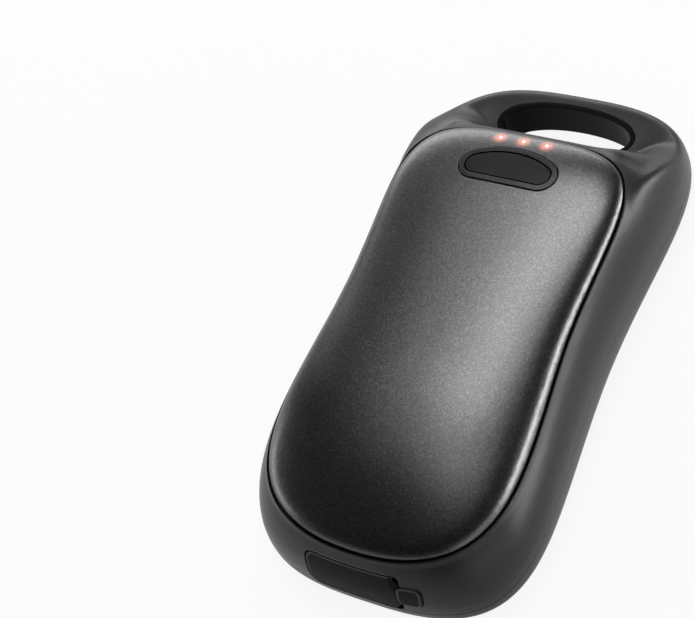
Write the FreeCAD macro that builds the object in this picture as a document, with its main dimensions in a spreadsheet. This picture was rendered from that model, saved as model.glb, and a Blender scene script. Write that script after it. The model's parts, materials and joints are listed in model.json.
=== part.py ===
"""Rechargeable hand warmer: a pebble-shaped housing with a finger loop, a domed metal panel,
one push button with three indicator lights, and a rubber flap over the charging port.

Frame: the flat back lies on z = 0, +Z points out of the front panel, +Y runs to the finger loop,
and the origin is below the middle of the body. All sizes are in millimetres.
"""
import FreeCAD, Part
import Sketcher
import math
import os
import re

SIZES = (
    # The pebble's widest line, seen from the front
    ("body_length", 108.0, "nose to the end of the finger loop"),
    ("waist_width", 51.8, "widest line across the waist"),
    ("hip_spread", 10.6, "how far each side flares from the waist to the ends"),
    ("hip_lean", 1.1, "how much more the nose end flares than the loop end"),
    ("loop_round", 3.07, "roundness exponent of the loop end"),
    ("nose_round", 2.9, "roundness exponent of the nose end"),
    # The pebble's section
    ("side_equator", 5.8, "height of the widest line along the sides"),
    ("nose_equator", 2.0, "height of the widest line at the nose"),
    ("loop_thick", 7.8, "thickness of the finger loop"),
    ("back_inset", 3.0, "how far the flat back stops inside the widest line"),
    ("loop_back_inset", 3.0, "the same at the finger loop"),
    ("parting_height", 6.6, "joint line of the two shells along the sides"),
    ("parting_nose", 2.6, "joint line of the two shells at the nose"),
    ("parting_gap", 0.1, "gap in the joint line"),
    ("hollow_inset", 1.6, "inner walls of both shells inside the opening's rim"),
    ("floor_wall", 1.8, "floor of the back cover"),
    ("bay_to_nose", 5.0, "pocket for the charging board to the nose"),
    ("bay_play", 0.4, "play beside the charging board in its pocket"),
    ("bay_depth", 1.9, "pocket below the charging board"),
    # The seam between the frame and the front panel
    ("seam_width", 45.8, "panel opening across the waist"),
    ("seam_spread", 9.0, "how far each side of the opening flares to its ends"),
    ("seam_lean", 3.32, "how much more the nose end of the opening flares"),
    ("seam_to_loop_end", 19.3, "loop end to the upper end of the opening"),
    ("seam_to_nose", 3.6, "nose to the lower end of the opening"),
    ("seam_top_round", 3.6, "roundness exponent of the opening's upper end"),
    ("seam_nose_round", 2.28, "roundness exponent of the opening's lower end"),
    ("seam_height", 17.2, "rim of the opening at its middle"),
    ("seam_ridge_height", 19.7, "rim of the opening at the upper end"),
    ("seam_nose_height", 14.0, "rim of the opening at the nose"),
    ("seam_gap", 0.4, "gap between the rim and the panel"),
    ("ledge_width", 2.0, "ledge that carries the panel"),
    ("ledge_drop", 2.9, "ledge below the rim at its middle and upper end"),
    ("ledge_nose_drop", 1.1, "ledge below the rim at the nose"),
    ("ledge_thick", 1.5, "thickness of the ledge"),
    ("gasket_inset", 0.2, "seal inside the panel's outer edge"),
    ("gasket_thick", 0.4, "seal between the ledge and the panel"),
    # The front panel
    ("panel_crown", 22.6, "top of the domed panel"),
    ("panel_nose_drop", 4.2, "how far the dome falls towards the nose"),
    ("panel_wall", 1.3, "sheet thickness of the panel"),
    # The finger hole
    ("hole_width", 26.5, "finger hole across"),
    ("hole_height", 9.7, "finger hole along the body"),
    ("loop_bar", 4.6, "loop's end bar beyond the finger hole"),
    ("liner_wall", 0.9, "ring that lines the finger hole"),
    ("liner_gap", 0.12, "gap round the ring"),
    # The button
    ("button_height", 8.2, "bezel along the body"),
    ("button_to_seam", 4.75, "bezel to the upper end of the opening"),
    ("button_arch", 16.9, "radius of the bezel's arched side"),
    ("button_corner", 3.3, "radius of the bezel's lower corners"),
    ("bezel_width", 1.0, "width of the bezel ring"),
    ("bezel_gap", 0.2, "gap between the panel and the bezel"),
    ("bezel_proud", 0.12, "how far the bezel stands out of the panel"),
    ("flange_width", 0.7, "flange below the panel and below the bezel"),
    ("flange_thick", 0.8, "thickness of both flanges"),
    ("cap_gap", 0.3, "gap between the bezel and the button cap"),
    ("cap_play", 0.15, "play above the button cap's flange"),
    ("button_travel", 0.4, "travel of the button"),
    ("stem_width", 3.0, "diameter of the button's stem"),
    ("switch_size", 5.2, "side of the switch body"),
    ("switch_height", 2.0, "height of the switch body"),
    ("plunger_width", 2.4, "diameter of the switch plunger"),
    ("plunger_gap", 0.15, "play round the plunger"),
    # The indicator lights
    ("light_pitch", 4.7, "distance between the lights"),
    ("light_hole", 1.0, "diameter of the holes in the panel"),
    ("light_to_seam", 2.5, "lights to the upper end of the opening"),
    ("light_gap", 0.1, "gap round the light guide's pins"),
    ("light_bar", 1.0, "thickness of the light guide's bar"),
    ("led_size", 1.2, "side of a light-emitting chip"),
    ("led_height", 0.8, "height of a light-emitting chip"),
    # Boards and what they carry
    ("board_thick", 1.2, "both circuit boards"),
    ("board_clear", 0.3, "control board below the ledge"),
    ("control_width", 27.0, "control board across"),
    ("control_length", 14.6, "control board along the body"),
    ("control_to_seam", 2.8, "control board to the upper end of the opening"),
    ("charge_width", 26.0, "charging board across"),
    ("charge_length", 16.4, "charging board along the body"),
    ("charge_to_nose", 5.4, "charging board to the nose"),
    ("port_below_rim", 6.65, "centre of the charging port below the rim at the nose"),
    ("port_width", 8.94, "charging socket across"),
    ("port_height", 3.26, "height of the charging socket"),
    ("port_length", 7.35, "depth of the charging socket"),
    ("port_wall", 0.3, "sheet of the socket's shell"),
    ("port_to_nose", 3.0, "mouth of the socket to the nose"),
    ("port_clear", 0.3, "play round the socket in the frame"),
    ("tongue_width", 6.7, "contact tongue across"),
    ("tongue_thick", 0.7, "thickness of the contact tongue"),
    ("chip_size", 4.0, "side of the two controller chips"),
    ("chip_height", 0.9, "height of the controller chips"),
    ("inductor_size", 5.0, "side of the power inductor"),
    ("inductor_height", 2.4, "height of the power inductor"),
    ("capacitor_length", 1.6, "length of a chip capacitor"),
    ("capacitor_width", 0.8, "width and height of a chip capacitor"),
    ("capacitor_pitch", 2.4, "distance between chip capacitors"),
    # The battery and the heaters
    ("fit_gap", 0.3, "play round the pieces in the battery carrier"),
    ("carrier_width", 34.6, "battery carrier across"),
    ("carrier_to_charge", 1.9, "battery carrier to the charging board"),
    ("carrier_to_control", 1.0, "battery carrier to the control board"),
    ("carrier_wall", 1.2, "wall of the battery carrier"),
    ("carrier_lower", 1.4, "battery carrier's rim below the battery's face"),
    ("plate_thick", 0.6, "heat-spreading plate in the back"),
    ("heater_thick", 0.3, "both heating films"),
    ("foam_thick", 0.8, "foam below the battery"),
    ("battery_thick", 11.6, "thickness of the battery cell"),
    ("bond_gap", 0.12, "glue film between curved faces"),
    ("heater_inset", 5.0, "front heating film inside the opening's rim"),
    ("heater_to_button", 2.6, "front heating film to the bezel"),
    ("pad_short", 9.0, "front foam pad stops short of the battery's upper end"),
    ("tab_width", 2.8, "battery tabs across"),
    ("tab_thick", 0.2, "thickness of a battery tab"),
    ("tab_place", 7.6, "battery tabs' middle from the body's middle"),
    ("tab_reach", 2.2, "battery tabs on the charging board"),
    ("ribbon_width", 8.0, "ribbon between the two boards"),
    ("ribbon_thick", 0.25, "thickness of the ribbon"),
    ("ribbon_land", 2.0, "ribbon's soldered end on each board"),
    ("sensor_size", 2.4, "length of the temperature sensor"),
    # Screws
    ("case_screw", 2.0, "diameter of the case screws"),
    ("case_screw_length", 5.0, "length of the case screws"),
    ("case_head", 3.8, "diameter of the case screws' heads"),
    ("board_screw", 1.6, "diameter of the board screws"),
    ("board_screw_length", 3.6, "length of the board screws"),
    ("board_head", 3.0, "diameter of the board screws' heads"),
    ("head_height", 1.1, "height of all screw heads"),
    ("screw_play", 0.1, "play round a screw in the piece that it holds"),
    ("boss_wall", 1.7, "wall of a screw boss"),
    ("ear_thick", 2.0, "ears that the screws pass through"),
    ("top_screw_to_seam", 15.1, "upper case screws to the upper end of the opening"),
    ("nose_screw_to_seam", 12.0, "lower case screws to the lower end of the opening"),
    ("case_screw_inset", 5.4, "case screws inside the opening's rim"),
    ("control_screw_inset", 2.5, "control board's screws inside its sides"),
    ("charge_screw_inset", 2.0, "charging board's screws inside its sides"),
    ("board_screw_to_end", 3.5, "board screws and posts to the board's end"),
    # The port flap
    ("flap_left", 10.2, "flap's free end from the body's middle"),
    ("flap_right", 7.7, "flap's hinge from the body's middle"),
    ("flap_below_rim", 10.5, "flap's lower edge below the rim at the nose"),
    ("flap_height", 7.8, "flap's upper edge above its lower edge"),
    ("flap_thick", 1.2, "thickness of the flap"),
    ("flap_gap", 0.3, "gap round the flap"),
    ("flap_seat", 0.1, "gap below the flap"),
    ("flap_corner", 2.0, "corner radius of the flap's free end"),
    ("bead_width", 1.0, "diameter of the flap's hinge bead"),
    ("bead_length", 4.0, "length of the flap's hinge bead"),
    ("bead_depth", 0.65, "hinge line below the outside"),
    ("hinge_gap", 0.4, "gap between the hinge bead and the anchor pad"),
    ("hinge_room", 0.9, "recess beyond the hinge line"),
    ("flap_lip", 0.3, "lip of the frame below the flap"),
    ("anchor_width", 3.9, "anchor pad of the flap across"),
    ("anchor_height", 4.2, "anchor pad along the slope of the nose"),
    ("anchor_corner", 1.0, "corner radius of the anchor pad"),
)
RING_COUNT = 48
RING_START = 7

doc = FreeCAD.newDocument("HandWarmer")
sheet = doc.addObject("Spreadsheet::Sheet", "Sizes")
for row, (alias, value, note) in enumerate(SIZES, start=1):
    sheet.set(f"A{row}", alias)
    sheet.set(f"B{row}", str(value))
    sheet.set(f"C{row}", note)
    sheet.setAlias(f"B{row}", alias)
doc.recompute()


def number(text):
    """The value of an expression in the sheet's sizes, such as "body_length / 2"."""
    return float(sheet.evalExpression(text))


def bind(thing, prop, text):
    """Ties a property to an expression in the sheet's sizes."""
    thing.setExpression(prop, re.sub(r"[a-z]+_[a-z_]+", lambda word: "Sizes." + word.group(), text))


# Places that several pieces share, as expressions in the sheet's sizes
NOSE = "(-body_length / 2)"
SEAM_TOP = "(body_length / 2 - seam_to_loop_end)"
SEAM_NOSE = "(-body_length / 2 + seam_to_nose)"
BUTTON_TOP = f"({SEAM_TOP} - button_to_seam)"
BUTTON_LOW = f"({BUTTON_TOP} - button_height)"
BUTTON_MIDDLE = f"({BUTTON_TOP} - button_height / 2)"
LIGHT_ROW = f"({SEAM_TOP} - light_to_seam)"
CONTROL_TOP = "(seam_ridge_height - ledge_drop - ledge_thick - board_clear)"
CONTROL_END = f"({SEAM_TOP} - control_to_seam)"
CONTROL_START = f"({CONTROL_END} - control_length)"
PORT_CENTRE = "(seam_nose_height - port_below_rim)"
CHARGE_TOP = f"({PORT_CENTRE} - port_height / 2)"
CHARGE_END = f"({NOSE} + charge_to_nose)"
CHARGE_REAR = f"({CHARGE_END} + charge_length)"
CARRIER_NOSE = f"({CHARGE_REAR} + carrier_to_charge)"
CARRIER_END = f"({CONTROL_START} - carrier_to_control)"
CARRIER_LENGTH = f"({CARRIER_END} - {CARRIER_NOSE})"
CARRIER_MIDDLE = f"(({CARRIER_END} + {CARRIER_NOSE}) / 2)"
CELL_WIDTH = "(carrier_width - 2 * (carrier_wall + fit_gap))"
CELL_LENGTH = f"({CARRIER_LENGTH} - 2 * (carrier_wall + fit_gap))"
CELL_LOW = "(floor_wall + plate_thick + heater_thick + foam_thick)"
CELL_TOP = f"({CELL_LOW} + battery_thick)"
SWITCH_TOP = f"({CONTROL_TOP} + switch_height)"
PLUNGER_TOP = f"({SWITCH_TOP} + button_travel + plunger_gap)"


def signed_power(base, power):
    return math.copysign(abs(base) ** power, base)


def ease(share):
    """A smooth step from 0 to 1."""
    share = min(1.0, max(0.0, share))
    return share * share * (3 - 2 * share)


def mix(first, second, share):
    return first + (second - first) * share


class Outline:
    """A waisted closed outline, symmetric about the YZ plane, with rounded ends of its own."""

    def __init__(self, width, spread, lean, top, bottom, top_round, bottom_round):
        self.half = width / 2
        self.spread = spread
        self.lean = lean
        self.centre = (top + bottom) / 2
        self.reach = (top - bottom) / 2
        self.top_round = top_round
        self.bottom_round = bottom_round

    def point(self, angle):
        power = 2 / (self.top_round if math.sin(angle) > 0 else self.bottom_round)
        along = signed_power(math.sin(angle), power)
        half = self.half - self.lean * along + self.spread * along * along
        across = half * signed_power(math.cos(angle), power)
        return FreeCAD.Vector(across, self.centre + self.reach * along, 0)

    def outward(self, angle, step=1e-3):
        along = self.point(angle + step) - self.point(angle - step)
        return FreeCAD.Vector(along.y, -along.x, 0).normalize()

    def inside(self, angle, inset):
        return self.point(angle) - self.outward(angle) * inset

    def even_angles(self, count, fine=4000):
        """Angles whose points are evenly spaced along the outline."""
        points = [self.point(2 * math.pi * step / fine) for step in range(fine + 1)]
        runs = [0.0]
        for here, there in zip(points, points[1:]):
            runs.append(runs[-1] + here.distanceToPoint(there))
        angles = []
        step = 0
        for index in range(count):
            goal = runs[-1] * index / count
            while runs[step + 1] < goal:
                step += 1
            part = (goal - runs[step]) / (runs[step + 1] - runs[step])
            angles.append(2 * math.pi * (step + part) / fine)
        return angles


def ring_poles(points, rounds=8):
    """Poles of the closed cubic curve that passes through evenly spaced points."""
    poles = list(points)
    count = len(points)
    for _ in range(rounds):
        passed = [(poles[i - 1] + poles[i] * 4 + poles[(i + 1) % count]) * (1 / 6) for i in range(count)]
        poles = [pole + point - at for pole, point, at in zip(poles, points, passed)]
    return poles


def quarters(count):
    """The four stretches of a closed curve, between its parameters."""
    return [(count * index / 4, count * (index + 1) / 4) for index in range(4)]


def ring_wire(points):
    curve = Part.BSplineCurve()
    count = len(points)
    knots = [float(index) for index in range(count + 1)]
    curve.buildFromPolesMultsKnots(ring_poles(points), [1] * (count + 1), knots, True, 3)
    return Part.Wire([curve.toShape(*ends) for ends in quarters(count)])


def prism(points, low, high):
    """The solid that stands on a closed curve, between two heights."""
    flat = [FreeCAD.Vector(point.x, point.y, low) for point in points]
    return Part.Face(ring_wire(flat)).extrude(FreeCAD.Vector(0, 0, high - low))


def skin(rings):
    """A smooth closed solid drawn over rings of points. Its two end rings are flat."""
    poles = [ring_poles(ring) for ring in rings]
    count = len(rings[0])
    spans = len(rings) - 3
    surface = Part.BSplineSurface()
    surface.buildFromPolesMultsKnots(
        [[ring[index] for ring in poles] for index in range(count)],
        [1] * (count + 1), [4] + [1] * (spans - 1) + [4],
        [float(index) for index in range(count + 1)], [float(index) for index in range(spans + 1)],
        True, False, 3, 3)
    sides = [surface.toShape(*ends, 0.0, float(spans)) for ends in quarters(count)]
    ends = [Part.Face(ring_wire(ring)) for ring in (rings[0], rings[-1])]
    shell = Part.makeShell(sides + ends)
    shell.sewShape()
    solid = Part.makeSolid(shell)
    if solid.Volume < 0:
        solid.reverse()
    return solid


size = {alias: number(alias) for alias, _, _ in SIZES}
outer = Outline(size["waist_width"], size["hip_spread"], size["hip_lean"], size["body_length"] / 2,
                -size["body_length"] / 2, size["loop_round"], size["nose_round"])
seam = Outline(size["seam_width"], size["seam_spread"], size["seam_lean"], number(SEAM_TOP),
               number(SEAM_NOSE), size["seam_top_round"], size["seam_nose_round"])
ANGLES = outer.even_angles(RING_COUNT)
SEAM_ANGLES = seam.even_angles(RING_COUNT)


def seam_level(y, drop="seam_gap * 0", nose_drop="seam_gap * 0"):
    """Height of the opening's rim at a place along the body, or of a line below the rim."""
    along = (y - seam.centre) / seam.reach
    top = size["seam_ridge_height"] - number(drop)
    middle = size["seam_height"] - number(drop)
    nose = size["seam_nose_height"] - number(nose_drop)
    return middle + (top - nose) / 2 * along + ((top + nose) / 2 - middle) * along * along


# Below the widest line: share of the back's inset and share of the widest line's height
LOWER_LEVELS = ((1.0, 0.0), (0.6, 0.0), (0.2, 0.17), (0.015, 0.5), (0.0, 0.86))
# Above it, along the body: share of the rise to the rim
UPPER_LEVELS = (0.16, 0.38, 0.6, 0.8, 0.92, 1.0)
# Above it, at the finger loop: share of the way to the rim and share of the climb up the ridge
LOOP_LEVELS = ((0.02, -0.09), (0.1, 0.0), (0.5, 0.0), (0.8, 0.02), (0.91, 0.7), (1.0, 1.0))
SIDE_BULGE = 2.59
NOSE_BULGE = 1.93
# Where the section changes along the body, as shares of half the length: start and span
TO_LOOP = (0.1, 0.85)
TERRACE = (0.744, 0.237)
TO_NOSE = (0.4, 0.6)
LID_INSET = 2.5


def blend(along, stretch):
    """How far the section has changed at a place along the body."""
    start, span = stretch
    return ease((along - start) / span)


def pebble_column(angle):
    """The pebble's section at one place around it, from the flat back to the rim."""
    edge = outer.point(angle)
    rim = seam.point(angle)
    along = edge.y / (size["body_length"] / 2)
    to_loop, terrace, to_nose = blend(along, TO_LOOP), blend(along, TERRACE), blend(-along, TO_NOSE)
    widest = mix(mix(size["side_equator"], size["nose_equator"], to_nose), size["loop_thick"] / 2, to_loop)
    back = mix(size["back_inset"], size["loop_back_inset"], to_loop)
    rim_height = seam_level(rim.y)
    column = []
    for inset, rise in LOWER_LEVELS:
        place = outer.inside(angle, inset * back)
        column.append(FreeCAD.Vector(place.x, place.y, rise * widest))
    bulge = mix(SIDE_BULGE, NOSE_BULGE, to_nose)
    for share, (loop_share, climb) in zip(UPPER_LEVELS, LOOP_LEVELS):
        way = mix(share ** bulge, loop_share, terrace)
        body_height = mix(widest, rim_height, share)
        loop_height = mix(size["loop_thick"], rim_height, climb)
        place = edge + (rim - edge) * way
        column.append(FreeCAD.Vector(place.x, place.y, mix(body_height, loop_height, terrace)))
    return column


def pebble():
    """The whole outside of the two shells, with a flat block standing above the rim."""
    columns = [pebble_column(angle) for angle in ANGLES]
    rings = [list(ring) for ring in zip(*columns)]
    lid = []
    for angle in ANGLES:
        place = seam.inside(angle, LID_INSET)
        lid.append(FreeCAD.Vector(place.x, place.y, size["panel_crown"]))
    return skin(rings + [lid])


def feature(label, shape):
    """A document object with a shape worked out here."""
    thing = doc.addObject("Part::Feature", label)
    thing.Shape = shape
    return thing


def combine(kind, label, things):
    thing = doc.addObject(kind, label)
    thing.Shapes = list(things)
    return thing


def fuse(label, *things):
    return combine("Part::MultiFuse", label, things)


def common(label, *things):
    return combine("Part::MultiCommon", label, things)


def cut(label, base, *tools):
    """The base with all the tools taken away."""
    thing = doc.addObject("Part::Cut", label)
    thing.Base = base
    thing.Tool = tools[0] if len(tools) == 1 else fuse(label + "_tools", *tools)
    return thing


def block(label, across, along, height):
    """A box between two expressions on each axis."""
    thing = doc.addObject("Part::Box", label)
    for axis, side, (low, high) in zip("xyz", ("Length", "Width", "Height"), (across, along, height)):
        bind(thing, side, f"({high}) - ({low})")
        bind(thing, f"Placement.Base.{axis}", low)
    return thing


def drum(label, across, along, height, width):
    """An upright cylinder at a place, between two heights."""
    thing = doc.addObject("Part::Cylinder", label)
    bind(thing, "Radius", f"({width}) / 2")
    bind(thing, "Height", f"({height[1]}) - ({height[0]})")
    for axis, place in zip("xyz", (across, along, height[0])):
        bind(thing, f"Placement.Base.{axis}", place)
    return thing


def pair(text):
    """A place on the right and its mirror image on the left."""
    return text, f"-({text})"


def around(middle, width):
    return f"({middle}) - ({width}) / 2", f"({middle}) + ({width}) / 2"


EVERYWHERE = around("0", "2 * body_length")


def new_sketch(label, plane):
    """A body and a sketch on one of its origin planes."""
    body = doc.addObject("PartDesign::Body", label)
    sketch = body.newObject("Sketcher::SketchObject", label + "_sketch")
    origin = next(item for item in body.Origin.OriginFeatures if item.Role == plane)
    sketch.AttachmentSupport = [(origin, "")]
    sketch.MapMode = "FlatFace"
    return body, sketch


def draw(sketch, points):
    """A closed run of lines that are level or upright by turns, starting with a level one."""
    count = len(points)
    for index in range(count):
        ends = [FreeCAD.Vector(*points[place % count], 0) for place in (index, index + 1)]
        sketch.addGeometry(Part.LineSegment(*ends), False)
    for index in range(count):
        sketch.addConstraint(Sketcher.Constraint("Coincident", index, 2, (index + 1) % count, 1))
        sketch.addConstraint(Sketcher.Constraint(("Horizontal", "Vertical")[index % 2], index))


def measure(sketch, kind, first, second, text):
    """A dimension between two points of a sketch, bound to the sheet."""
    index = sketch.addConstraint(Sketcher.Constraint(kind, *first, *second, number(text)))
    bind(sketch, f"Constraints[{index}]", text)


def plate(label, size_pair, height, place=("0", "0"), corner=None):
    """A flat piece: a rectangle about a place, padded between two heights, with rounded corners."""
    body, sketch = new_sketch(label, "XY_Plane")
    half, reach = (number(text) / 2 for text in size_pair)
    draw(sketch, [(-half, -reach), (half, -reach), (half, reach), (-half, reach)])
    sketch.addConstraint(Sketcher.Constraint("Symmetric", 0, 1, 2, 1, -1, 1))
    measure(sketch, "DistanceX", (0, 1), (0, 2), size_pair[0])
    measure(sketch, "DistanceY", (1, 1), (1, 2), size_pair[1])
    for axis, text in zip("xyz", (*place, height[0])):
        bind(sketch, f"AttachmentOffset.Base.{axis}", text)
    pad = body.newObject("PartDesign::Pad", label + "_pad")
    pad.Profile = sketch
    bind(pad, "Length", f"({height[1]}) - ({height[0]})")
    if corner:
        doc.recompute()
        upright = [f"Edge{index}" for index, edge in enumerate(pad.Shape.Edges, start=1)
                   if edge.BoundBox.ZLength > 1e-6]
        rounding = body.newObject("PartDesign::Fillet", label + "_rounding")
        rounding.Base = (pad, upright)
        bind(rounding, "Radius", corner)
    return body


def screw(label, width, length, head):
    """A pan-head screw that points down, with its head resting on the origin."""
    body, sketch = new_sketch(label, "XZ_Plane")
    head_half, half = number(head) / 2, number(width) / 2
    top, depth = number("head_height"), number(length)
    draw(sketch, [(0, top), (head_half, top), (head_half, 0), (half, 0), (half, -depth), (0, -depth)])
    origin = (-1, 1)
    sketch.addConstraint(Sketcher.Constraint("PointOnObject", 0, 1, -2))
    measure(sketch, "DistanceY", origin, (0, 1), "head_height")
    measure(sketch, "DistanceX", origin, (0, 2), f"{head} / 2")
    sketch.addConstraint(Sketcher.Constraint("PointOnObject", 2, 1, -1))
    measure(sketch, "DistanceX", origin, (3, 1), f"{width} / 2")
    measure(sketch, "DistanceY", (4, 1), origin, length)
    turn = body.newObject("PartDesign::Revolution", label + "_turn")
    turn.Profile = sketch
    turn.ReferenceAxis = (sketch, ["V_Axis"])
    turn.Angle = 360
    doc.recompute()
    return body


def copies(label, master, places):
    """One node of equal pieces, each a solid of its own."""
    doc.recompute()
    solids = []
    for place in places:
        solid = master.Shape.copy()
        solid.translate(FreeCAD.Vector(*(number(text) for text in place)))
        solids.append(solid)
    return feature(label, Part.makeCompound(solids))


def seam_ring(inset):
    """Points inside the opening's rim, which start where no other ring does."""
    angles = SEAM_ANGLES[RING_START:] + SEAM_ANGLES[:RING_START]
    return [seam.inside(angle, inset) for angle in angles]


def seam_prism(label, inset):
    """Everything inside the opening's rim, or inside a line parallel to it, seen from the front."""
    return feature(label, prism(seam_ring(number(inset)), BELOW, ABOVE))


def side_slab(label, poles, thick):
    """Everything between a line drawn in the side view and a level far above or below it."""
    line = Part.BSplineCurve()
    points = [FreeCAD.Vector(-FAR, *pole) for pole in poles]
    spans = len(points) - 2
    knots = [float(index) for index in range(spans + 1)]
    line.buildFromPolesMultsKnots(points, [3] + [1] * (spans - 1) + [3], knots, False, 2)
    first, last = points[0], points[-1]
    lift = FreeCAD.Vector(0, 0, thick)
    rest = Part.makePolygon([last, last + lift, first + lift, first])
    face = Part.Face(Part.Wire([line.toShape()] + rest.Edges))
    return feature(label, face.extrude(FreeCAD.Vector(2 * FAR, 0, 0)))


def rim_slab(label, drop, nose_drop, thick):
    """Everything above or below a line that follows the opening's rim at a distance below it."""
    ends = [seam_level(y, drop, nose_drop) for y in (-FAR, FAR)]
    middle = 2 * seam_level(0, drop, nose_drop) - sum(ends) / 2
    return side_slab(label, [(-FAR, ends[0]), (0, middle), (FAR, ends[1])], thick)


# Reach of the shapes that only cut others
FAR = size["body_length"]
BELOW = -size["panel_crown"]
ABOVE = 2 * size["panel_crown"]

# The panel's dome: share of the way from the rim to the crown line, and places below the rim
DOME_SHARES = (0.0, 0.03, 0.1, 0.22, 0.4, 0.62, 0.82, 0.94)
DOME_SKIRT = ((6.0, 8.0), (1.6, 3.2), (0.3, 0.5))
DOME_FULL = 3.2
DOME_ROUND = 1.5
CROWN_SHARE = 0.48
CROWN_SHIFT = 4.0
NOSE_FALL = 1.5


def crown_level(y):
    """Height of the dome's crown line, which falls towards the nose."""
    start = seam.centre - CROWN_SHARE * seam.reach + CROWN_SHIFT
    end = seam.centre - seam.reach
    fall = max(0.0, (start - y) / (start - end))
    return size["panel_crown"] - size["panel_nose_drop"] * fall ** NOSE_FALL


def dome():
    """The solid below the front panel's outside, which flares out below the rim."""
    lowest = size["seam_nose_height"] - DOME_SKIRT[0][1]
    rings = []
    for out, drop in DOME_SKIRT:
        places = [seam.inside(angle, -out) for angle in SEAM_ANGLES]
        rims = [seam_level(seam.point(angle).y) for angle in SEAM_ANGLES]
        level = [lowest if not rings else rim - drop for rim in rims]
        rings.append([FreeCAD.Vector(place.x, place.y, z) for place, z in zip(places, level)])
    for share in DOME_SHARES:
        ring = []
        rise = (1 - (1 - share) ** DOME_FULL) ** (1 / DOME_ROUND)
        for angle in SEAM_ANGLES:
            edge = seam.point(angle)
            goal = FreeCAD.Vector(0, seam.centre + CROWN_SHIFT + CROWN_SHARE * (edge.y - seam.centre), 0)
            place = edge + (goal - edge) * share
            z = mix(seam_level(edge.y), crown_level(place.y), rise)
            if share == DOME_SHARES[-1]:
                z = size["panel_crown"]
            ring.append(FreeCAD.Vector(place.x, place.y, z))
        rings.append(ring)
    return skin(rings)


def under_dome(label, area, top, low):
    """The layer of an upright area between two depths below the panel's outside."""
    return cut(label, common(label + "_area", area, sunk_dome(top)), sunk_dome(low))


sunk = {}


def sunk_dome(depth):
    if depth not in sunk:
        shape = dome_shape.copy()
        shape.translate(FreeCAD.Vector(0, 0, -number(depth)))
        sunk[depth] = feature(f"dome_{len(sunk)}", shape)
    return sunk[depth]


pebble_shape = pebble()
dome_shape = dome()
outside = feature("pebble", pebble_shape)

# The two shells
PARTING_SIDE = "(parting_height)"
PARTING_LOOP = "(loop_thick / 2)"
ABOVE_ALL = "(2 * panel_crown)"
# Where the joint line starts to change its height, as shares of half the length
PARTING_NOSE = (0.96, 0.52)
PARTING_LOOP_END = (0.26, 0.78)


def parting_slab(label, lower, thick):
    """Everything above or below the joint line of the two shells, which dips at the nose and the loop."""
    side, nose, loop = (number(text) - lower for text in (PARTING_SIDE, "parting_nose", PARTING_LOOP))
    half = size["body_length"] / 2
    low_end, low_start = (-half * share for share in PARTING_NOSE)
    high_start, high_end = (half * share for share in PARTING_LOOP_END)
    low_middle = ((low_end + low_start) / 2, (nose + side) / 2)
    high_middle = ((high_start + high_end) / 2, (side + loop) / 2)
    poles = [(-FAR, nose), (low_end, nose), low_middle, (low_start, side), (0, side),
             (high_start, side), high_middle, (high_end, loop), (FAR, loop)]
    return side_slab(label, poles, thick)


rim_area = seam_prism("rim_area", "0")
panel_area = seam_prism("panel_area", "seam_gap")
panel_inside = seam_prism("panel_inside", "seam_gap + panel_wall")
ledge_inside = seam_prism("ledge_inside", "seam_gap + ledge_width")
hollow_area = seam_prism("hollow_area", "hollow_inset")
above_ledge = rim_slab("above_ledge", "ledge_drop", "ledge_nose_drop", ABOVE)
below_ledge = rim_slab("below_ledge", "ledge_drop + ledge_thick", "ledge_nose_drop + ledge_thick",
                       BELOW - FAR)

CASE_SCREW_ROWS = (f"({SEAM_TOP} - top_screw_to_seam)", f"({SEAM_NOSE} + nose_screw_to_seam)")
EAR_LOW = PARTING_SIDE
EAR_TOP = f"({PARTING_SIDE} + ear_thick)"
BOSS_TOP = f"({PARTING_SIDE} - parting_gap)"
BOSS_WIDTH = "(case_screw + 2 * boss_wall)"
POST_WIDTH = "(board_screw + 2 * boss_wall)"
CONTROL_LOW = f"({CONTROL_TOP} - board_thick)"
CHARGE_LOW = f"({CHARGE_TOP} - board_thick)"
CONTROL_SCREW_ROW = f"({CONTROL_END} - board_screw_to_end)"
CHARGE_SCREW_ROW = f"({CHARGE_REAR} - board_screw_to_end)"
CHARGE_POST_ROW = f"({CHARGE_END} + board_screw_to_end)"


def rim_half_width(y):
    """Half the opening's width at a place along the body."""
    angles = [math.pi * step / 2000 - math.pi / 2 for step in range(1, 2000)]
    return min((seam.point(angle) for angle in angles), key=lambda point: abs(point.y - number(y))).x


def case_screw_places():
    """Where the case screws stand: four, in pairs beside the opening's rim."""
    places = []
    for row in CASE_SCREW_ROWS:
        reach = f"({rim_half_width(row):.3f} - case_screw_inset)"
        places += [(across, row) for across in pair(reach)]
    return places


CASE_SCREWS = case_screw_places()
CONTROL_SCREW_PLACE = "(control_width / 2 - control_screw_inset)"
CHARGE_SCREW_PLACE = "(charge_width / 2 - charge_screw_inset)"
CONTROL_SCREWS = [(across, CONTROL_SCREW_ROW) for across in pair(CONTROL_SCREW_PLACE)]
CHARGE_SCREWS = [(across, CHARGE_SCREW_ROW) for across in pair(CHARGE_SCREW_PLACE)]
CHARGE_POSTS = [(across, CHARGE_POST_ROW) for across in pair(CHARGE_SCREW_PLACE)]


def side_range(across, inner):
    """From an inner line out to the shell's wall, on the side where a place lies."""
    far = "waist_width / 2 + hip_spread"
    return (inner, far) if number(across) > 0 else (f"-({far})", f"-({inner})")


def charging_bay():
    """The pocket in the nose for the charging board."""
    return block("charging_bay", around("0", "charge_width + 2 * bay_play"),
                 (f"{NOSE} + bay_to_nose", CHARGE_SCREW_ROW),
                 (f"{CHARGE_LOW} - bay_depth", f"{CHARGE_TOP} + port_height + bay_play"))


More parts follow.
